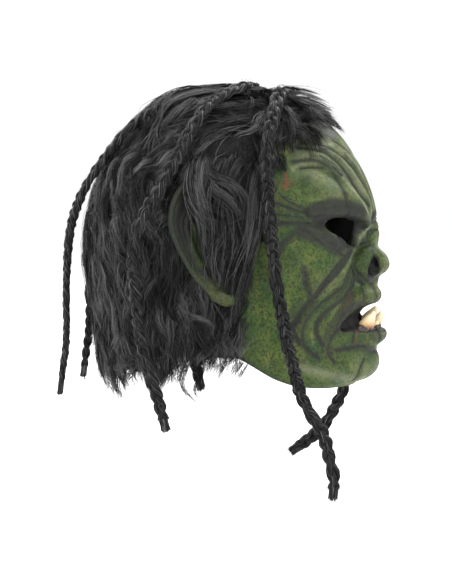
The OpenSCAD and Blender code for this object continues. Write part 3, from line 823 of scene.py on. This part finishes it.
def make_ears():
    clay = Clay((70, -38, 72), (112, 38, 194), 0.9)
    clay.field = np.full([len(a) for a in clay.axes], 30.0)
    rim = spline(EAR_RIM, 2.2)
    for point in rim:
        middle = 0.45 * EAR_HEART + 0.55 * point - [2.5, 0, 0]
        clay.rod([EAR_HEART, middle, point], [2.4, 1.7, 1.6], 1.2)
    clay.rod(rim, 2.3, 1.3)
    clay.rod([(88, -6, 98), (91, 3, 112), (95, 11, 130), (98, 15, 150), (95, 8, 167)], [2.2, 2.8, 3.0, 3.0, 2.0], 2.5)
    clay.rod([(97, 13, 152), (93, -2, 164), (87, -14, 168)], [2.6, 2.4, 1.8], 2.5)
    clay.rod([(83, -26, 128), (87, -23, 119), (86, -21, 111)], [4.5, 5.5, 4.0], 3.0)
    clay.rod([(90, -10, 88), (87, -20, 85), (84, -25, 90)], [5.5, 6.5, 4.5], 3.0)
    clay.rod([(93, -12, 124), (84, -8, 126)], [7.0, 5.5], 3.0, True)
    clay.rod([(104, 22, 162), (99, 13, 175), (90, -6, 175)], [1.3, 1.6, 1.0], 2.0, True)
    for side, name in SIDES:
        ear = clay.surface("latex_ear_" + name)
        if side < 0:
            ear.data.transform(Matrix.Scale(-1, 4, (1, 0, 0)))
            ear.data.flip_normals()
        places, normals, edges = mesh_arrays(ear)
        hollow = hollowness(places, normals, edges)
        mirrored = places * [side, 1, 1]
        # Painted shade: creases, the deep hollow and the whole ear are darkened, less on the lobe, and a painted lit
        # patch on the concha is left light.
        wash_and_shade = np.clip(hollow * 14, 0, 1) * 0.9
        deep = np.exp(-(line_gap(mirrored, np.array([[88, -8, 118], [88, -8, 132]], float)) / 11) ** 2)
        lit = np.exp(-(line_gap(mirrored, np.array([[93, 2, 116], [95, 8, 132], [94, 9, 146]], float)) / 5.0) ** 2)
        low = smooth_step((125 - mirrored[:, 2]) / 30)
        shade = (0.90 - 0.34 * low) * (1 - 0.9 * lit)
        write_attribute(ear, "wash_and_shade", np.maximum.reduce([wash_and_shade * (1 - 0.5 * lit), 0.9 * deep * (1 - lit), shade]))
        # Painted highlight on the ridges.
        write_attribute(ear, "pale_and_highlight", np.clip(-hollow * 10, 0, 1) * 0.35)
        write_attribute(ear, "blush", places[:, 0] * 0)
        # Painted shade in the bowl inside the rim, above the lobe and away from the lit patch.
        bowl_shade = smooth_step((line_gap(mirrored, rim) - 3.0) / 2.6) * smooth_step((mirrored[:, 2] - 94) / 16)
        write_attribute(ear, "inside", 0.9 * bowl_shade * (1 - lit))
        use_material(ear, LATEX)
        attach(ear, "mask")
        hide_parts("ear_" + name)


# ---------------------------------------------------------------- teeth and gum

def lump(name, low, high, step, rods, carves=()):
    """A small solid blended from rods, with carved rods taken out: points, radii and softness of each."""
    clay = Clay(low, high, step)
    clay.field = np.full([len(a) for a in clay.axes], 20.0)
    for points, radii, soft in rods:
        clay.rod(points, radii, soft, fine=1.0)
    for points, radii, soft in carves:
        clay.rod(points, radii, soft, True, fine=1.0)
    return clay.surface(name)


def finish_tooth(tooth, node, root, crown):
    """Darkens a tooth towards its root and hands it over."""
    places, _, _ = mesh_arrays(tooth)
    rise = np.clip((places[:, 2] - root) / (crown - root), 0, 1)
    write_attribute(tooth, "root_darkening", (1 - rise) ** 2.2)
    use_material(tooth, IVORY)
    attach(tooth, "mask")
    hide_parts(node)


def make_teeth():
    for side, name in SIDES:
        x = side * 19.0
        tusk = lump("ivory_tusk_" + name, (x - 9, -144, 49), (x + 9, -121, 71), 0.5, [
            ([(x, -130.5, 54.5), (x, -134, 59.5), (x - side * 0.6, -138, 65.6)], [5.6, 4.4, 1.6], 2.0),
            ([(x, -135.5, 54.5), (x, -137.5, 60), (x - side * 0.6, -138.6, 65.6)], [3.6, 2.6, 1.6], 2.0)],
            [([(x - side * 5, -141, 56), (x - side * 3.6, -141.4, 63)], [1.0, 0.7], 1.5)])
        finish_tooth(tusk, "tusk_" + name, 53, 64)
        x = side * 4.2
        front = lump("ivory_front_" + name, (x - 6, -151, 49), (x + 6, -132, 68), 0.45, [
            ([(x, -139.5, 54), (x, -142.5, 58.5), (x, -144.2, 62.6)], [3.3, 3.7, 2.4], 1.5)],
            [([(x + side * 3.2, -146.5, 55), (x + side * 2.6, -147.8, 61)], [0.5, 0.4], 0.8)])
        finish_tooth(front, "tooth_front_" + name, 52, 62)
        x = side * 10.8
        small = lump("ivory_small_" + name, (x - 4, -146, 50), (x + 4, -132, 62), 0.4, [
            ([(x, -138, 54), (x, -141, 56.2)], [2.2, 2.1], 1.0)])
        finish_tooth(small, "tooth_small_" + name, 51, 59)
    half = [(0, -139, 50), (9, -138, 50.5), (15, -135, 51), (21, -131, 52), (25, -127, 53)]
    strip = [(-x, y, z) for x, y, z in half[:0:-1]] + half
    rods = [(strip, 3.4, 1.0)]
    for x, y in ((4.2, -141), (10.8, -139.5), (19, -133)):
        for side in (1, -1):
            for turn in range(6):
                a = turn * math.pi / 3
                reach = 4.6 if x > 15 else 3.6
                rods.append(([(side * x + reach * math.cos(a), y + 1 + reach * math.sin(a), 52.2),
                              (side * x + 0.8 * reach * math.cos(a), y + 1 + 0.8 * reach * math.sin(a), 53.8)],
                             [1.5, 0.8], 1.2))
    gum = lump("gum_ridge", (-32, -150, 44), (32, -120, 58), 0.55, rods)
    use_material(gum, GUM)
    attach(gum, "mask")
    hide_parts("tooth_strip")


# ---------------------------------------------------------------- braids

BRAID_STEP = 1.3
TIP_LENGTH = 10.0
BRAID_SEED = 7
MIDDLE = [
    (-14, -28, 264), (-34, -18, 261), (-56, -6, 254), (-78, 6, 239), (-94, 16, 218), (-103, 26, 197), (-107, 36, 178),
    (-108, 47, 160), (-108, 56, 140), (-106, 59, 118), (-104, 58, 96), (-103, 56, 74), (-102, 54, 52), (-101, 49, 32),
    (-100, 44, 14), (-99, 38, -6), (-98, 33, -28)]
BACK = [
    (-39, 54, 243), (-44, 75, 226), (-49, 91, 206), (-51, 105, 187), (-52, 116, 167), (-51, 124, 145), (-49, 128, 123),
    (-47, 130, 101), (-46, 131, 79), (-46, 131, 57), (-46, 132, 35), (-46, 135, 14), (-46, 138, -8)]
# Each braid: the numbered point it bends at, its thickness at the end, and its route in millimetres.
BRAIDS = {
    "front_right": (6, 1.0, [
        (-24, -58, 260), (-42, -56, 254), (-61, -55, 243), (-79, -53, 226), (-91, -52, 206), (-96, -53, 186),
        (-97, -54, 165), (-96, -56, 143), (-95, -59, 120), (-94, -61, 98), (-93, -65, 76), (-91, -69, 52),
        (-89, -75, 28), (-88, -81, 5), (-88, -91, -14), (-88, -101, -31), (-88, -106, -50), (-88, -110, -67),
        (-88, -109, -85)]),
    "front_left": (6, 1.0, [
        (24, -58, 260), (42, -57, 254), (61, -58, 242), (78, -60, 226), (89, -63, 206), (94, -69, 186), (94, -76, 165),
        (93, -84, 143), (91, -91, 120), (88, -98, 98), (85, -103, 76), (82, -107, 52), (80, -110, 28), (78, -112, 5),
        (76, -107, -18), (75, -98, -38), (74, -88, -55), (73, -73, -69), (72, -57, -81)]),
    "middle_right": (8, 0.9, MIDDLE),
    "middle_left": (8, 0.9, [(-x, y, z) for x, y, z in MIDDLE]),
    "back_right": (4, 0.72, BACK),
    "back_left": (4, 0.72, [(-x, y, z) for x, y, z in BACK])}


def outward(points):
    """Directions away from the middle of the head."""
    hub = np.stack([points[:, 0] * 0, -5 - 15 * smooth_step((points[:, 2] - 130) / 100),
                    np.minimum(points[:, 2], 130)], axis=1)
    return unit(points - hub)


def frames(path, face):
    """The direction along a path, and the side and face directions square to it."""
    along = unit(np.gradient(path, axis=0))
    face = unit(face - (face * along).sum(axis=1, keepdims=True) * along)
    return along, np.cross(along, face), face


def plait(name, path, face, size, rng, period=33.0, threads=28, hairs=420):
    """A loose three-strand plait of crimped threads round dark cores; size scales its width at each point."""
    _, side, face = frames(path, face)
    s = lengths_along(path)
    uneven = s + 5.0 * np.sin(s / 23.0 + 1) + 2.5 * np.sin(s / 9.0)
    w = size[:, None]
    lines, radii, tones = [], [], []
    cores, core_radii = [], []
    for k in range(3):
        turn = 2 * np.pi * (uneven / period + k / 3.0)
        centre = path + w * (3.3 * np.sin(turn)[:, None] * side + 1.45 * np.sin(2 * turn)[:, None] * face)
        _, across, up = frames(centre, face)
        cores.append(centre)
        core_radii.append(2.25 * size)
        for j in range(threads):
            knots = max(6, int(s[-1] / 18))
            slow = np.interp(s, np.linspace(0, s[-1], knots), rng.normal(0, 0.16, knots))
            crimp = np.interp(s, np.linspace(0, s[-1], 5 * knots), rng.normal(0, 0.17, 5 * knots))
            angle = 2 * np.pi * j / threads + s / 6.5 + slow * 1.6
            reach = (2.6 + 0.6 * slow + crimp + rng.normal(0, 0.12)) * size
            lines.append(centre + reach[:, None] * (np.cos(angle)[:, None] * across
                                                    + 0.88 * np.sin(angle)[:, None] * up))
            radii.append(np.full(len(s), rng.uniform(0.20, 0.36)) * size)
            tones.append(rng.choice(4, p=[0.38, 0.37, 0.19, 0.06]))
    parts = [tubes(lines, radii, 3, 0.03, tones), tubes(cores, core_radii, 8, 0.05)]
    at = rng.integers(2, len(path) - 3, hairs)
    angle = rng.uniform(0, 2 * np.pi, hairs)
    out = np.cos(angle)[:, None] * side[at] + 0.7 * np.sin(angle)[:, None] * face[at]
    t = np.linspace(0, 1, 5)
    length = rng.uniform(3, 9.5, hairs)
    drift = unit(np.gradient(path, axis=0))[at] * rng.choice([-1, 1], hairs, p=[0.3, 0.7])[:, None]
    drift = unit(drift + 0.3 * np.cross(drift, out) * rng.uniform(-1, 1, (hairs, 1)))
    start = path[at] + out * 4.3 * size[at][:, None]
    stray = (start[:, None] + drift[:, None] * (length[:, None] * t)[..., None]
             + out[:, None] * (rng.uniform(0.5, 1.9, hairs)[:, None] * np.sin(t * 2.6))[..., None])
    thin = np.tile([0, 0.11, 0.10, 0.08, 0], (hairs, 1))
    parts.append(tubes(stray, thin, 3, [0.10, 0.02], rng.choice([1, 2, 3], hairs)))
    return merged(name, parts, PLAIT_TONES)


def merged(name, parts, materials):
    """One mesh from parts of points, quads and material numbers."""
    start, faces = 0, []
    for points, quads, _ in parts:
        faces.append(quads + start)
        start += len(points)
    obj = new_mesh(name, np.vstack([q[0] for q in parts]), np.vstack(faces))
    for material in materials:
        obj.data.materials.append(material)
    obj.data.polygons.foreach_set("material_index", np.concatenate([q[2] for q in parts]).astype(np.int32))
    return obj


def frayed_end(name, path, size, face, rng):
    """The blunt end: the threads lie side by side, draw in a little and are cut off."""
    along, side, face = frames(path, face)
    count = 170
    t = np.linspace(0, 1, len(path))
    angle = rng.uniform(0, 2 * np.pi, count)
    reach = 5.0 * np.sqrt(rng.uniform(0, 1, count))
    spread_out = size * (0.95 - 0.10 * smooth_step(t))
    bend = rng.normal(0, 0.8, (count, 1)) * t[None] ** 2
    across = (reach * np.cos(angle))[:, None] * spread_out[None] + bend
    up = 0.72 * (reach * np.sin(angle))[:, None] * spread_out[None] + rng.normal(0, 0.4, (count, 1)) * t[None]
    slip = rng.normal(-0.6, 1.3, (count, 1)) * t[None]
    lines = (path[None] + across[..., None] * side[None] + up[..., None] * face[None]
             + slip[..., None] * along[None])
    tones = rng.choice(4, count, p=[0.35, 0.33, 0.22, 0.10])
    return merged(name, [tubes(lines, np.full((count, len(path)), 0.38), 4, 0.06, tones)], PLAIT_TONES)


def loop_path(path):
    """The sewn-down loop: up out of the pile, round a ring that faces sideways, and on to the braid."""
    side = np.array([1.0 if path[8, 0] > 0 else -1.0, 0, 0])
    up = outward(path[:1])[0]
    normal = unit(0.85 * side + 0.5 * up)
    start = path[9] + 3.2 * normal - 3.6 * up
    across = unit(np.cross(normal, [0, 0, 1]))
    rise = np.cross(across, normal)
    turn = np.linspace(-0.45 * np.pi, 1.50 * np.pi, 12)[:, None]
    ring = (start + 4.2 * np.cos(turn) * across + 5.2 * np.sin(turn) * rise
            + np.linspace(-1.5, 1.5, 12)[:, None] * normal)
    back = unit(path[0] - path[3])
    anchor = path[0] + 5 * back - 9 * up
    return spline(np.vstack([anchor, path[0] + 1 * back - 4.5 * up, ring]), 1.1)


def make_braids():
    rng = np.random.default_rng(BRAID_SEED)
    for name, (split, share, route) in BRAIDS.items():
        path = spline(route, BRAID_STEP)
        s = lengths_along(path)
        bend_at = s[np.argmin(np.linalg.norm(path - np.array(route[split], float), axis=1))]
        size = 1 + (share - 1) * np.clip((s - bend_at) / (s[-1] - bend_at), 0, 1)
        size = size * (1 + 0.045 * np.sin(s / 17.0) + 0.035 * np.sin(s / 7.3))
        body = s <= s[-1] - TIP_LENGTH + 1.0
        face = outward(path)
        braid = plait("plait_" + name, path[body], face[body], size[body], rng)
        loop = loop_path(path)
        knot = plait("plait_loop_" + name, loop, np.tile([0.9, 0.1, 0.3], (len(loop), 1)), np.full(len(loop), 0.5),
                     rng, period=18.0, threads=16, hairs=60)
        end = spline(path[s >= s[-1] - TIP_LENGTH - 2.0], 1.2)
        tip = frayed_end("plait_end_" + name, end, share, np.repeat(face[-1:], len(end), axis=0), rng)
        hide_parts("knot_" + name)
        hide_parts("braid_" + name, "braid_" + name + "_tail")
        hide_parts("tip_" + name)
        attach(knot, "mask")
        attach(tip, "tail_" + name)
        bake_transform(braid)


# ---------------------------------------------------------------- wig

FRINGE_HALF = 54
SIDE_BACK = 125
PANEL_TOP = 223


def hairline_z(phi):
    return 236.5 - 17 * np.clip(np.abs(phi) / 50, 0, 1)


def hairline_phi(z):
    return 59.5 + 9 * smooth_step((212 - z) / 75) + 7 * smooth_step((130 - z) / 90)


def side_share(a, z):
    """How far a place is across a side panel: 0 at the hairline, 1 at the back panel."""
    return np.clip((a - hairline_phi(z)) / (SIDE_BACK - hairline_phi(z)), 0, 1)


def low_edge(phi, z):
    """Height where the pile ends, at a bearing."""
    a = np.abs(phi)
    return np.where(a > SIDE_BACK, 8, 32 - 24 * smooth_step(side_share(a, z) * 1.3))


def pile(phi, z):
    """How far the pile stands off the latex."""
    a = np.abs(phi)
    x = section(np.asarray(z, float))[0] * np.sin(np.radians(phi))
    lower = np.where(a > SIDE_BACK, 19, 5 + 11 * smooth_step(side_share(a, z) * 2)) + 5 * smooth_step((60 - z) / 60)
    top = 10 + 10 * np.exp(-(x / 15) ** 2) * np.where(a < 90, smooth_step((z - 236) / 9), 1.0)
    upper = np.where(a < FRINGE_HALF, 4 + (top - 4) * np.clip((z - hairline_z(a)) / 12, 0, 1), top)
    share = smooth_step((z - 205) / 25)
    return np.where(a < FRINGE_HALF, upper, lower + (top - lower) * share)


def bearing(points):
    a, front, wide, back = section(points[:, 2])
    v = wide - points[:, 1]
    reach = np.where(v > 0, wide - front, back - wide)
    return np.degrees(np.arctan2(points[:, 0] / a, v / reach))


class Scalp:
    """A plain closed shape of the head that hair lies on."""

    def __init__(self):
        t = np.linspace(0, 1, 90)
        heights = -60 + (CROWN_Z - 0.3 + 60) * (1 - (1 - t) ** 1.6)
        grid = self.grid = skin(heights[:, None], np.linspace(-180, 180, 97)[None, :-1])
        rows, cols = grid.shape[:2]
        quads = tube_faces(1, rows, cols)
        points = np.vstack([grid.reshape(-1, 3), [[0, -18, CROWN_Z]]])
        top = (rows - 1) * cols
        fan = [(top + k, top + (k + 1) % cols, len(points) - 1) for k in range(cols)]
        self.tree = BVHTree.FromPolygons(points.tolist(), quads.tolist() + fan)

    def rest_at(self, point, height):
        """The nearest place at that height above the shape, and the way out of it there."""
        place, normal, _, _ = self.tree.find_nearest(Vector(point))
        place, normal = np.array(place), np.array(normal)
        if normal @ outward(place[None])[0] < 0:
            normal = -normal
        return place + normal * height, normal


def in_ear(point):
    """Whether a place is behind the ear's outline, seen from the side."""
    y, z = point[1], point[2]
    return -30 < y < 30 - 0.011 * (z - 155) ** 2 * (z < 155) and 82 < z < 188


def hair_roots(scalp, count, rng):
    """Evenly spread roots on the wig's area: points and bearings."""
    g = scalp.grid
    g = np.concatenate([g, g[:, :1]], axis=1)
    area = np.linalg.norm(np.cross(g[1:, :-1] - g[:-1, :-1], g[:-1, 1:] - g[:-1, :-1]), axis=-1)
    chosen = rng.choice(area.size, count * 4, p=(area / area.sum()).ravel())
    r, c = np.unravel_index(chosen, area.shape)
    u, v = rng.random((2, len(r), 1))
    points = (g[r, c] * (1 - u) * (1 - v) + g[r + 1, c] * u * (1 - v) + g[r, c + 1] * (1 - u) * v
              + g[r + 1, c + 1] * u * v)
    phi = bearing(points)
    a, z = np.abs(phi), points[:, 2]
    wig = (z > rim_height(points[:, 0], points[:, 1]) + 2) & np.where(a < FRINGE_HALF, z > hairline_z(phi),
                                                                     a > hairline_phi(z))
    return points[wig][:count], phi[wig][:count]


CLUMP_POINTS = 14
# Shortest and longest clumps of the fringe, above the temples, on the front of the crown, and elsewhere.
FRINGE_LENGTH, TEMPLE_LENGTH, FRONT_LENGTH, LONG_LENGTH = (13, 28), (12, 22), (30, 52), (46, 88)


def comb(scalp, root, phi, rng, wild=False):
    """The middle line of one clump, from its root along the way the fur is brushed."""
    a, z0 = abs(phi), root[2]
    forward = a < 100 and z0 > 200 and rng.random() < smooth_step((-22 - root[1]) / 45)
    fringe = forward and a < FRINGE_HALF and z0 < hairline_z(a) + 9
    if fringe:
        length = rng.uniform(*FRINGE_LENGTH) * (0.62 if 14 < a < 42 else 1)
    elif forward and abs(root[0]) > 50:
        length = rng.uniform(*TEMPLE_LENGTH) * (1.7 if a > 68 else 1)
    elif forward:
        length = rng.uniform(*FRONT_LENGTH)
    else:
        length = rng.uniform(*LONG_LENGTH)
        spare = rng.uniform(-12, 30 if wild else 7)
        spare += 6 * math.sin(0.11 * phi + 1.0) + 5 * math.sin(0.29 * phi + 0.5)
        if rng.random() < 0.19:
            spare = rng.uniform(6, 36)
        length = min(length, max(18, z0 - float(low_edge(phi, z0)) + spare))
    step = length / (CLUMP_POINTS - 1)
    edge = a - float(hairline_phi(z0))
    if not forward and 0 < edge < 5 and z0 < 215:
        length *= 0.6
    high = float(pile(phi, z0)) * (0.35 + 0.78 * rng.random() ** 0.6)
    if wild:
        high *= 1.12
    sway, wave = rng.normal(0, 30 if wild else 18), rng.uniform(8, 36)
    wavelength, phase = rng.uniform(24, 56), rng.uniform(0, 6.28)
    flow = 16 * math.sin(0.045 * z0 + 0.06 * root[1] + 1.3) + 11 * math.sin(0.09 * z0 - 0.05 * root[1] + 0.4)
    point, line = root.copy(), []
    for i in range(CLUMP_POINTS):
        t = i / (CLUMP_POINTS - 1)
        here = high
        if not forward:
            here = high * 0.5 + 0.5 * min(1.3 * high, float(pile(bearing(point[None])[0], point[2])))
        quick_rise = 1.9 + 3.5 * smooth_step((z0 - 232) / 10)
        lift = 1.2 + (here - 1.2) * smooth_step(t * quick_rise)
        if in_ear(point) and abs(point[0]) > 60:
            lift = min(lift, 4.0)
        place, normal = scalp.rest_at(point, lift)
        line.append(place)
        down = smooth_step((238 - place[2]) / 62)
        if forward:
            aim = np.array([0.25 * np.sign(place[0]) * min(1, abs(place[0]) / 30), -1.0, -0.6 - 1.8 * down])
            if abs(place[0]) > 52:
                aim = np.array([0.5 * np.sign(place[0]), -0.25, -1.0])
        else:
            apart = 0.42 * np.sign(place[0]) * min(1, abs(place[0]) / 20)
            aim = np.array([apart, 1.0 - 0.80 * down, -0.25 - 0.95 * down])
        aim = unit(aim - (aim @ normal) * normal)
        if not forward and 0 < edge < 9:
            aim = unit(aim + [0, 0.22, 0])
        yaw = math.radians(sway + flow + wave * math.sin(6.28 * i * step / wavelength + phase))
        if 0 < edge < 9 or (forward and abs(root[0]) > 50):
            yaw *= 0.35
        aim = math.cos(yaw) * aim + math.sin(yaw) * np.cross(normal, aim)
        point = place + aim * step
    return np.array(line)


def strands_of(line, count, width, rng, fine, pointed):
    """Single hairs round a clump's middle line: (count, fine, 3), and each hair's radius along it."""
    t = np.linspace(0, 1, fine)
    begin = rng.uniform(0, 0.12, (count, 1))
    reach = begin + (rng.uniform(0.72, 1.0, (count, 1)) - begin) * t[None]
    place = reach * (len(line) - 1)
    low = np.clip(place.astype(int), 0, len(line) - 2)
    part = (place - low)[..., None]
    middle = line[low] * (1 - part) + line[low + 1] * part
    _, side, face = frames(line, outward(line))
    side, face = side[low], face[low]
    angle, far = rng.uniform(0, 2 * np.pi, (count, 1)), np.sqrt(rng.uniform(0, 1, (count, 1)))
    close = 1 - (1 - (0.25 if pointed else 0.9)) * smooth_step(t[None] * 1.05) ** 1.2
    body = width * far * close

    def waver(least, most, slow, fast):
        """A sideways wave that grows towards the tips."""
        size = rng.uniform(least, most, (count, 1))
        turn = rng.uniform(slow, fast, (count, 1)) * reach + rng.uniform(0, 6.28, (count, 1))
        return size * np.sin(turn) * t[None]

    curl = waver(0.4, 2.2, 4, 11)
    lift = waver(0.2, 1.0, 3, 7)
    wild = (rng.random((count, 1)) < 0.12) * rng.normal(0, 6.0, (count, 1)) * t[None] ** 1.5
    across = body * np.cos(angle) + curl + wild
    up = 0.45 * body * np.sin(angle) * np.minimum(1, 3 * t[None]) + lift * 0.8 + np.abs(wild) * 0.35
    hairs = middle + across[..., None] * side + up[..., None] * face
    radius = rng.uniform(0.12, 0.23, (count, 1)) * np.interp(t, [0, 0.15, 0.75, 1], [0.35, 1, 0.8, 0.12])[None]
    return hairs, radius


# Locks that hang in front of the wearer's left ear and over its rim, as middle lines.
EAR_LOCKS = [
    [(80, -22, 206), (92, -18, 198), (100, -14, 184), (103, -12, 168), (103, -10, 150), (101, -12, 130),
     (97, -14, 112)],
    [(82, -10, 206), (94, -8, 196), (103, -4, 182), (105, -2, 166), (103, -6, 148), (100, -4, 128), (96, -8, 104)],
    [(79, -34, 204), (91, -28, 196), (99, -22, 182), (102, -20, 162), (101, -24, 142), (97, -20, 120), (93, -22, 98)],
    [(80, -40, 198), (90, -38, 186), (95, -36, 170), (97, -35, 150), (96, -32, 130), (93, -27, 108), (90, -22, 88)],
    [(82, -4, 204), (95, -4, 196), (101, -10, 188), (103, -18, 186), (102, -27, 182), (100, -34, 172),
     (98, -38, 158)],
    [(84, 0, 200), (97, -2, 190), (102, -8, 180), (103, -14, 178), (103, -22, 172), (101, -29, 162), (98, -31, 148)],
    [(84, 2, 204), (97, 3, 193), (104, 4, 180), (105, 3, 166), (103, 0, 150), (100, -3, 134), (97, -6, 118),
     (94, -9, 104)],
    [(84, 8, 203), (98, 9, 193), (105, 10, 181), (106, 8, 168), (104, 4, 154), (101, 0, 140), (98, -4, 126),
     (95, -9, 112)],
    [(88, 14, 196), (99, 12, 186), (105, 9, 174), (105, 2, 164), (104, -6, 158), (102, -14, 156),
     (100, -21, 160), (98, -26, 168)],
    [(86, 6, 202), (98, 6, 194), (105, 6, 184), (107, 4, 172), (105, -2, 158), (102, -8, 146), (98, -10, 134)],
    [(92, -30, 150), (99, -24, 146), (102, -16, 142), (102, -10, 130), (99, -8, 118), (95, -10, 104), (91, -14, 92)],
    [(90, -36, 146), (96, -33, 134), (98, -28, 122), (96, -23, 110), (93, -22, 98), (90, -20, 86), (87, -20, 74)],
    [(88, -44, 160), (94, -42, 144), (95, -38, 126), (93, -33, 108), (90, -28, 92), (87, -25, 76), (84, -24, 62)],
    [(86, -46, 182), (93, -44, 168), (95, -43, 150), (94, -40, 130), (91, -35, 112), (88, -30, 96), (85, -27, 80)]]

# Locks at the wearer's left temple: bearing, height, and how far each place stands off the latex.
TEMPLE_LOCKS = [
    [(48, 238, 4), (51, 229, 5), (53, 219, 4), (54, 209, 2.5)],
    [(52, 236, 4), (55, 227, 5), (57, 217, 4), (58, 206, 2.5)],
    [(44, 239, 4), (47, 232, 5), (49, 224, 4), (50, 216, 2)],
    [(56, 232, 4), (58, 222, 4), (59.5, 211, 3.5), (60.5, 200, 2)]]


def make_undercoat(name, node, low, high, edges, share, columns):
    """A dark felted layer under the pile; low and high give heights and edges the two bearings at a height."""
    rows = 34
    u = np.linspace(0, 1, columns)[None]
    v = np.linspace(0, 1, rows)[:, None]
    first, last = edges(low + (high - low) * v) if np.ndim(low) == 0 else edges(0 * v)
    p = first * (1 - u) + last * u
    z = np.clip(low if np.ndim(low) == 0 else low[None], -60, 246) * (1 - v) + high * v + 0 * u
    base = skin(z, p)
    out = outward(base.reshape(-1, 3)).reshape(base.shape)
    lumps = (0.18 * np.sin(0.33 * z + 0.20 * p) + 0.16 * np.sin(0.21 * z - 0.31 * p + 2)
             + 0.10 * np.sin(0.71 * z + 0.11 * p))
    height = pile(p, z) * np.clip(share + lumps * 0.8, 0.12, 0.9)
    height = height * np.where(np.abs(p) < 72, 0.25, 1.0)
    ear = (np.abs(base[..., 1]) < 32) & (z > 80) & (z < 192) & (np.abs(p) > 60) & (np.abs(p) < 125)
    height = np.where(ear, np.minimum(height, 2.0), height) + 0.6
    fall = np.maximum(0, 24 - z) * 0.28
    outer, inner = base + out * (height + fall * 0.7)[..., None], base + out * (0.4 + fall)[..., None]
    n = rows * columns
    r, c = np.meshgrid(np.arange(rows - 1), np.arange(columns - 1), indexing="ij")
    a = (r * columns + c).ravel()
    quads = np.stack([a, a + 1, a + columns + 1, a + columns], axis=1)
    around = np.concatenate([
        np.arange(columns), np.arange(1, rows) * columns + columns - 1,
        (rows - 1) * columns + np.arange(columns - 2, -1, -1), np.arange(rows - 2, 0, -1) * columns])
    after = np.roll(around, -1)
    edge = np.stack([after, around, around + n, after + n], axis=1)
    obj = new_mesh(name, np.vstack([outer.reshape(-1, 3), inner.reshape(-1, 3)]),
                   np.vstack([quads, quads[:, ::-1] + n, edge]))
    use_material(obj, UNDERCOAT)
    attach(obj, "mask")
    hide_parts(node)


def region_of(root, phi):
    a, z = abs(phi), root[2]
    if a < FRINGE_HALF and z < hairline_z(phi) + 10:
        return "fringe"
    if z > PANEL_TOP:
        return "crown"
    side = "left" if phi > 0 else "right"
    return ("side_" if a < SIDE_BACK else "back_") + side


NODE_OF = {"fringe": "fur_fringe", "crown": "fur_crown", "side_left": "fur_side_left", "side_right": "fur_side_right",
           "back_left": "fur_back", "back_right": "fur_back"}


# Clumps, hairs in each, points along a hair, and stray clumps.
FULL_WIG = (2300, 28, 8, 1500)
WIG_SEED = 23
TEMPLE_SEED = 5
TONE_SHARES = [0.26, 0.34, 0.26, 0.14]


def make_wig():
    rng = np.random.default_rng(WIG_SEED)
    clumps, hairs, fine, strays = FULL_WIG
    scalp = Scalp()
    make_undercoat("undercoat_back", "fur_back", 17.0, 224.0, lambda z: (124 + 0 * z, 236 + 0 * z), 0.55, 60)
    for side, name in SIDES:
        make_undercoat("undercoat_side_" + name, "fur_side_" + name, 32.0, 224.0,
                       lambda z: (side * (hairline_phi(z) + 4), side * 126 + 0 * z), 0.5, 44)
    around = np.linspace(-180, 180, 97)
    make_undercoat("undercoat_crown", "fur_crown", np.where(np.abs(around) < 60, hairline_z(around) + 6, 222), 245.5,
                   lambda z: (-180 + 0 * z, 180 + 0 * z), 0.5, 97)
    roots, phis = hair_roots(scalp, clumps, rng)
    bins = {}
    lines = [(region_of(root, phi), comb(scalp, root, phi, rng), float(pile(phi, root[2])))
             for root, phi in zip(roots, phis)]
    for root, phi in zip(*hair_roots(scalp, strays, rng)):
        lines.append((region_of(root, phi), comb(scalp, root, phi, rng, wild=True), -1.0))
    for side, name in SIDES:
        for lock in EAR_LOCKS:
            for _ in range(7):
                shift = rng.normal(0, 1, 3) * [1.2, 3.2, 3.0]
                lines.append(("side_" + name, (spline(lock, 8.0) + shift) * [side, 1, 1], 0.0))
    shift = np.random.default_rng(TEMPLE_SEED)
    for side, name in SIDES:
        for lock in TEMPLE_LOCKS:
            phi, z, lift = np.array(lock, float).T
            base = skin(z, side * phi)
            line = base + outward(base) * lift[:, None]
            for _ in range(6):
                lines.append(("side_" + name, spline(line + shift.normal(0, 1, 3) * [1.5, 2.5, 2.5], 6.0), 0.0))
    for region, line, thick in lines:
        pointed = rng.random() < 0.6
        width = rng.uniform(4.0, 8.5) if thick > 0 else rng.uniform(2.2, 4.8)
        count = hairs if thick > 0 else (2 if thick < 0 else hairs // 2)
        strands, radius = strands_of(line, count, width, rng, fine, pointed)
        shade = rng.choice(4, p=TONE_SHARES)
        tones = np.clip(shade + rng.choice([-1, 0, 0, 1], count), 0, 3)
        for tone in range(4):
            pick = tones == tone
            if pick.any():
                bins.setdefault((region, tone), []).append((strands[pick], radius[pick]))
    for (region, tone), found in sorted(bins.items()):
        part = tubes(*(np.concatenate(q) for q in zip(*found)), 3, HAIR_END)
        obj = merged(f"hair_{region}_{tone + 1}", [part], [FUR_TONES[tone]])
        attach(obj, "mask")
        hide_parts(NODE_OF[region])


make_head()
make_ears()
make_teeth()
make_braids()
make_wig()
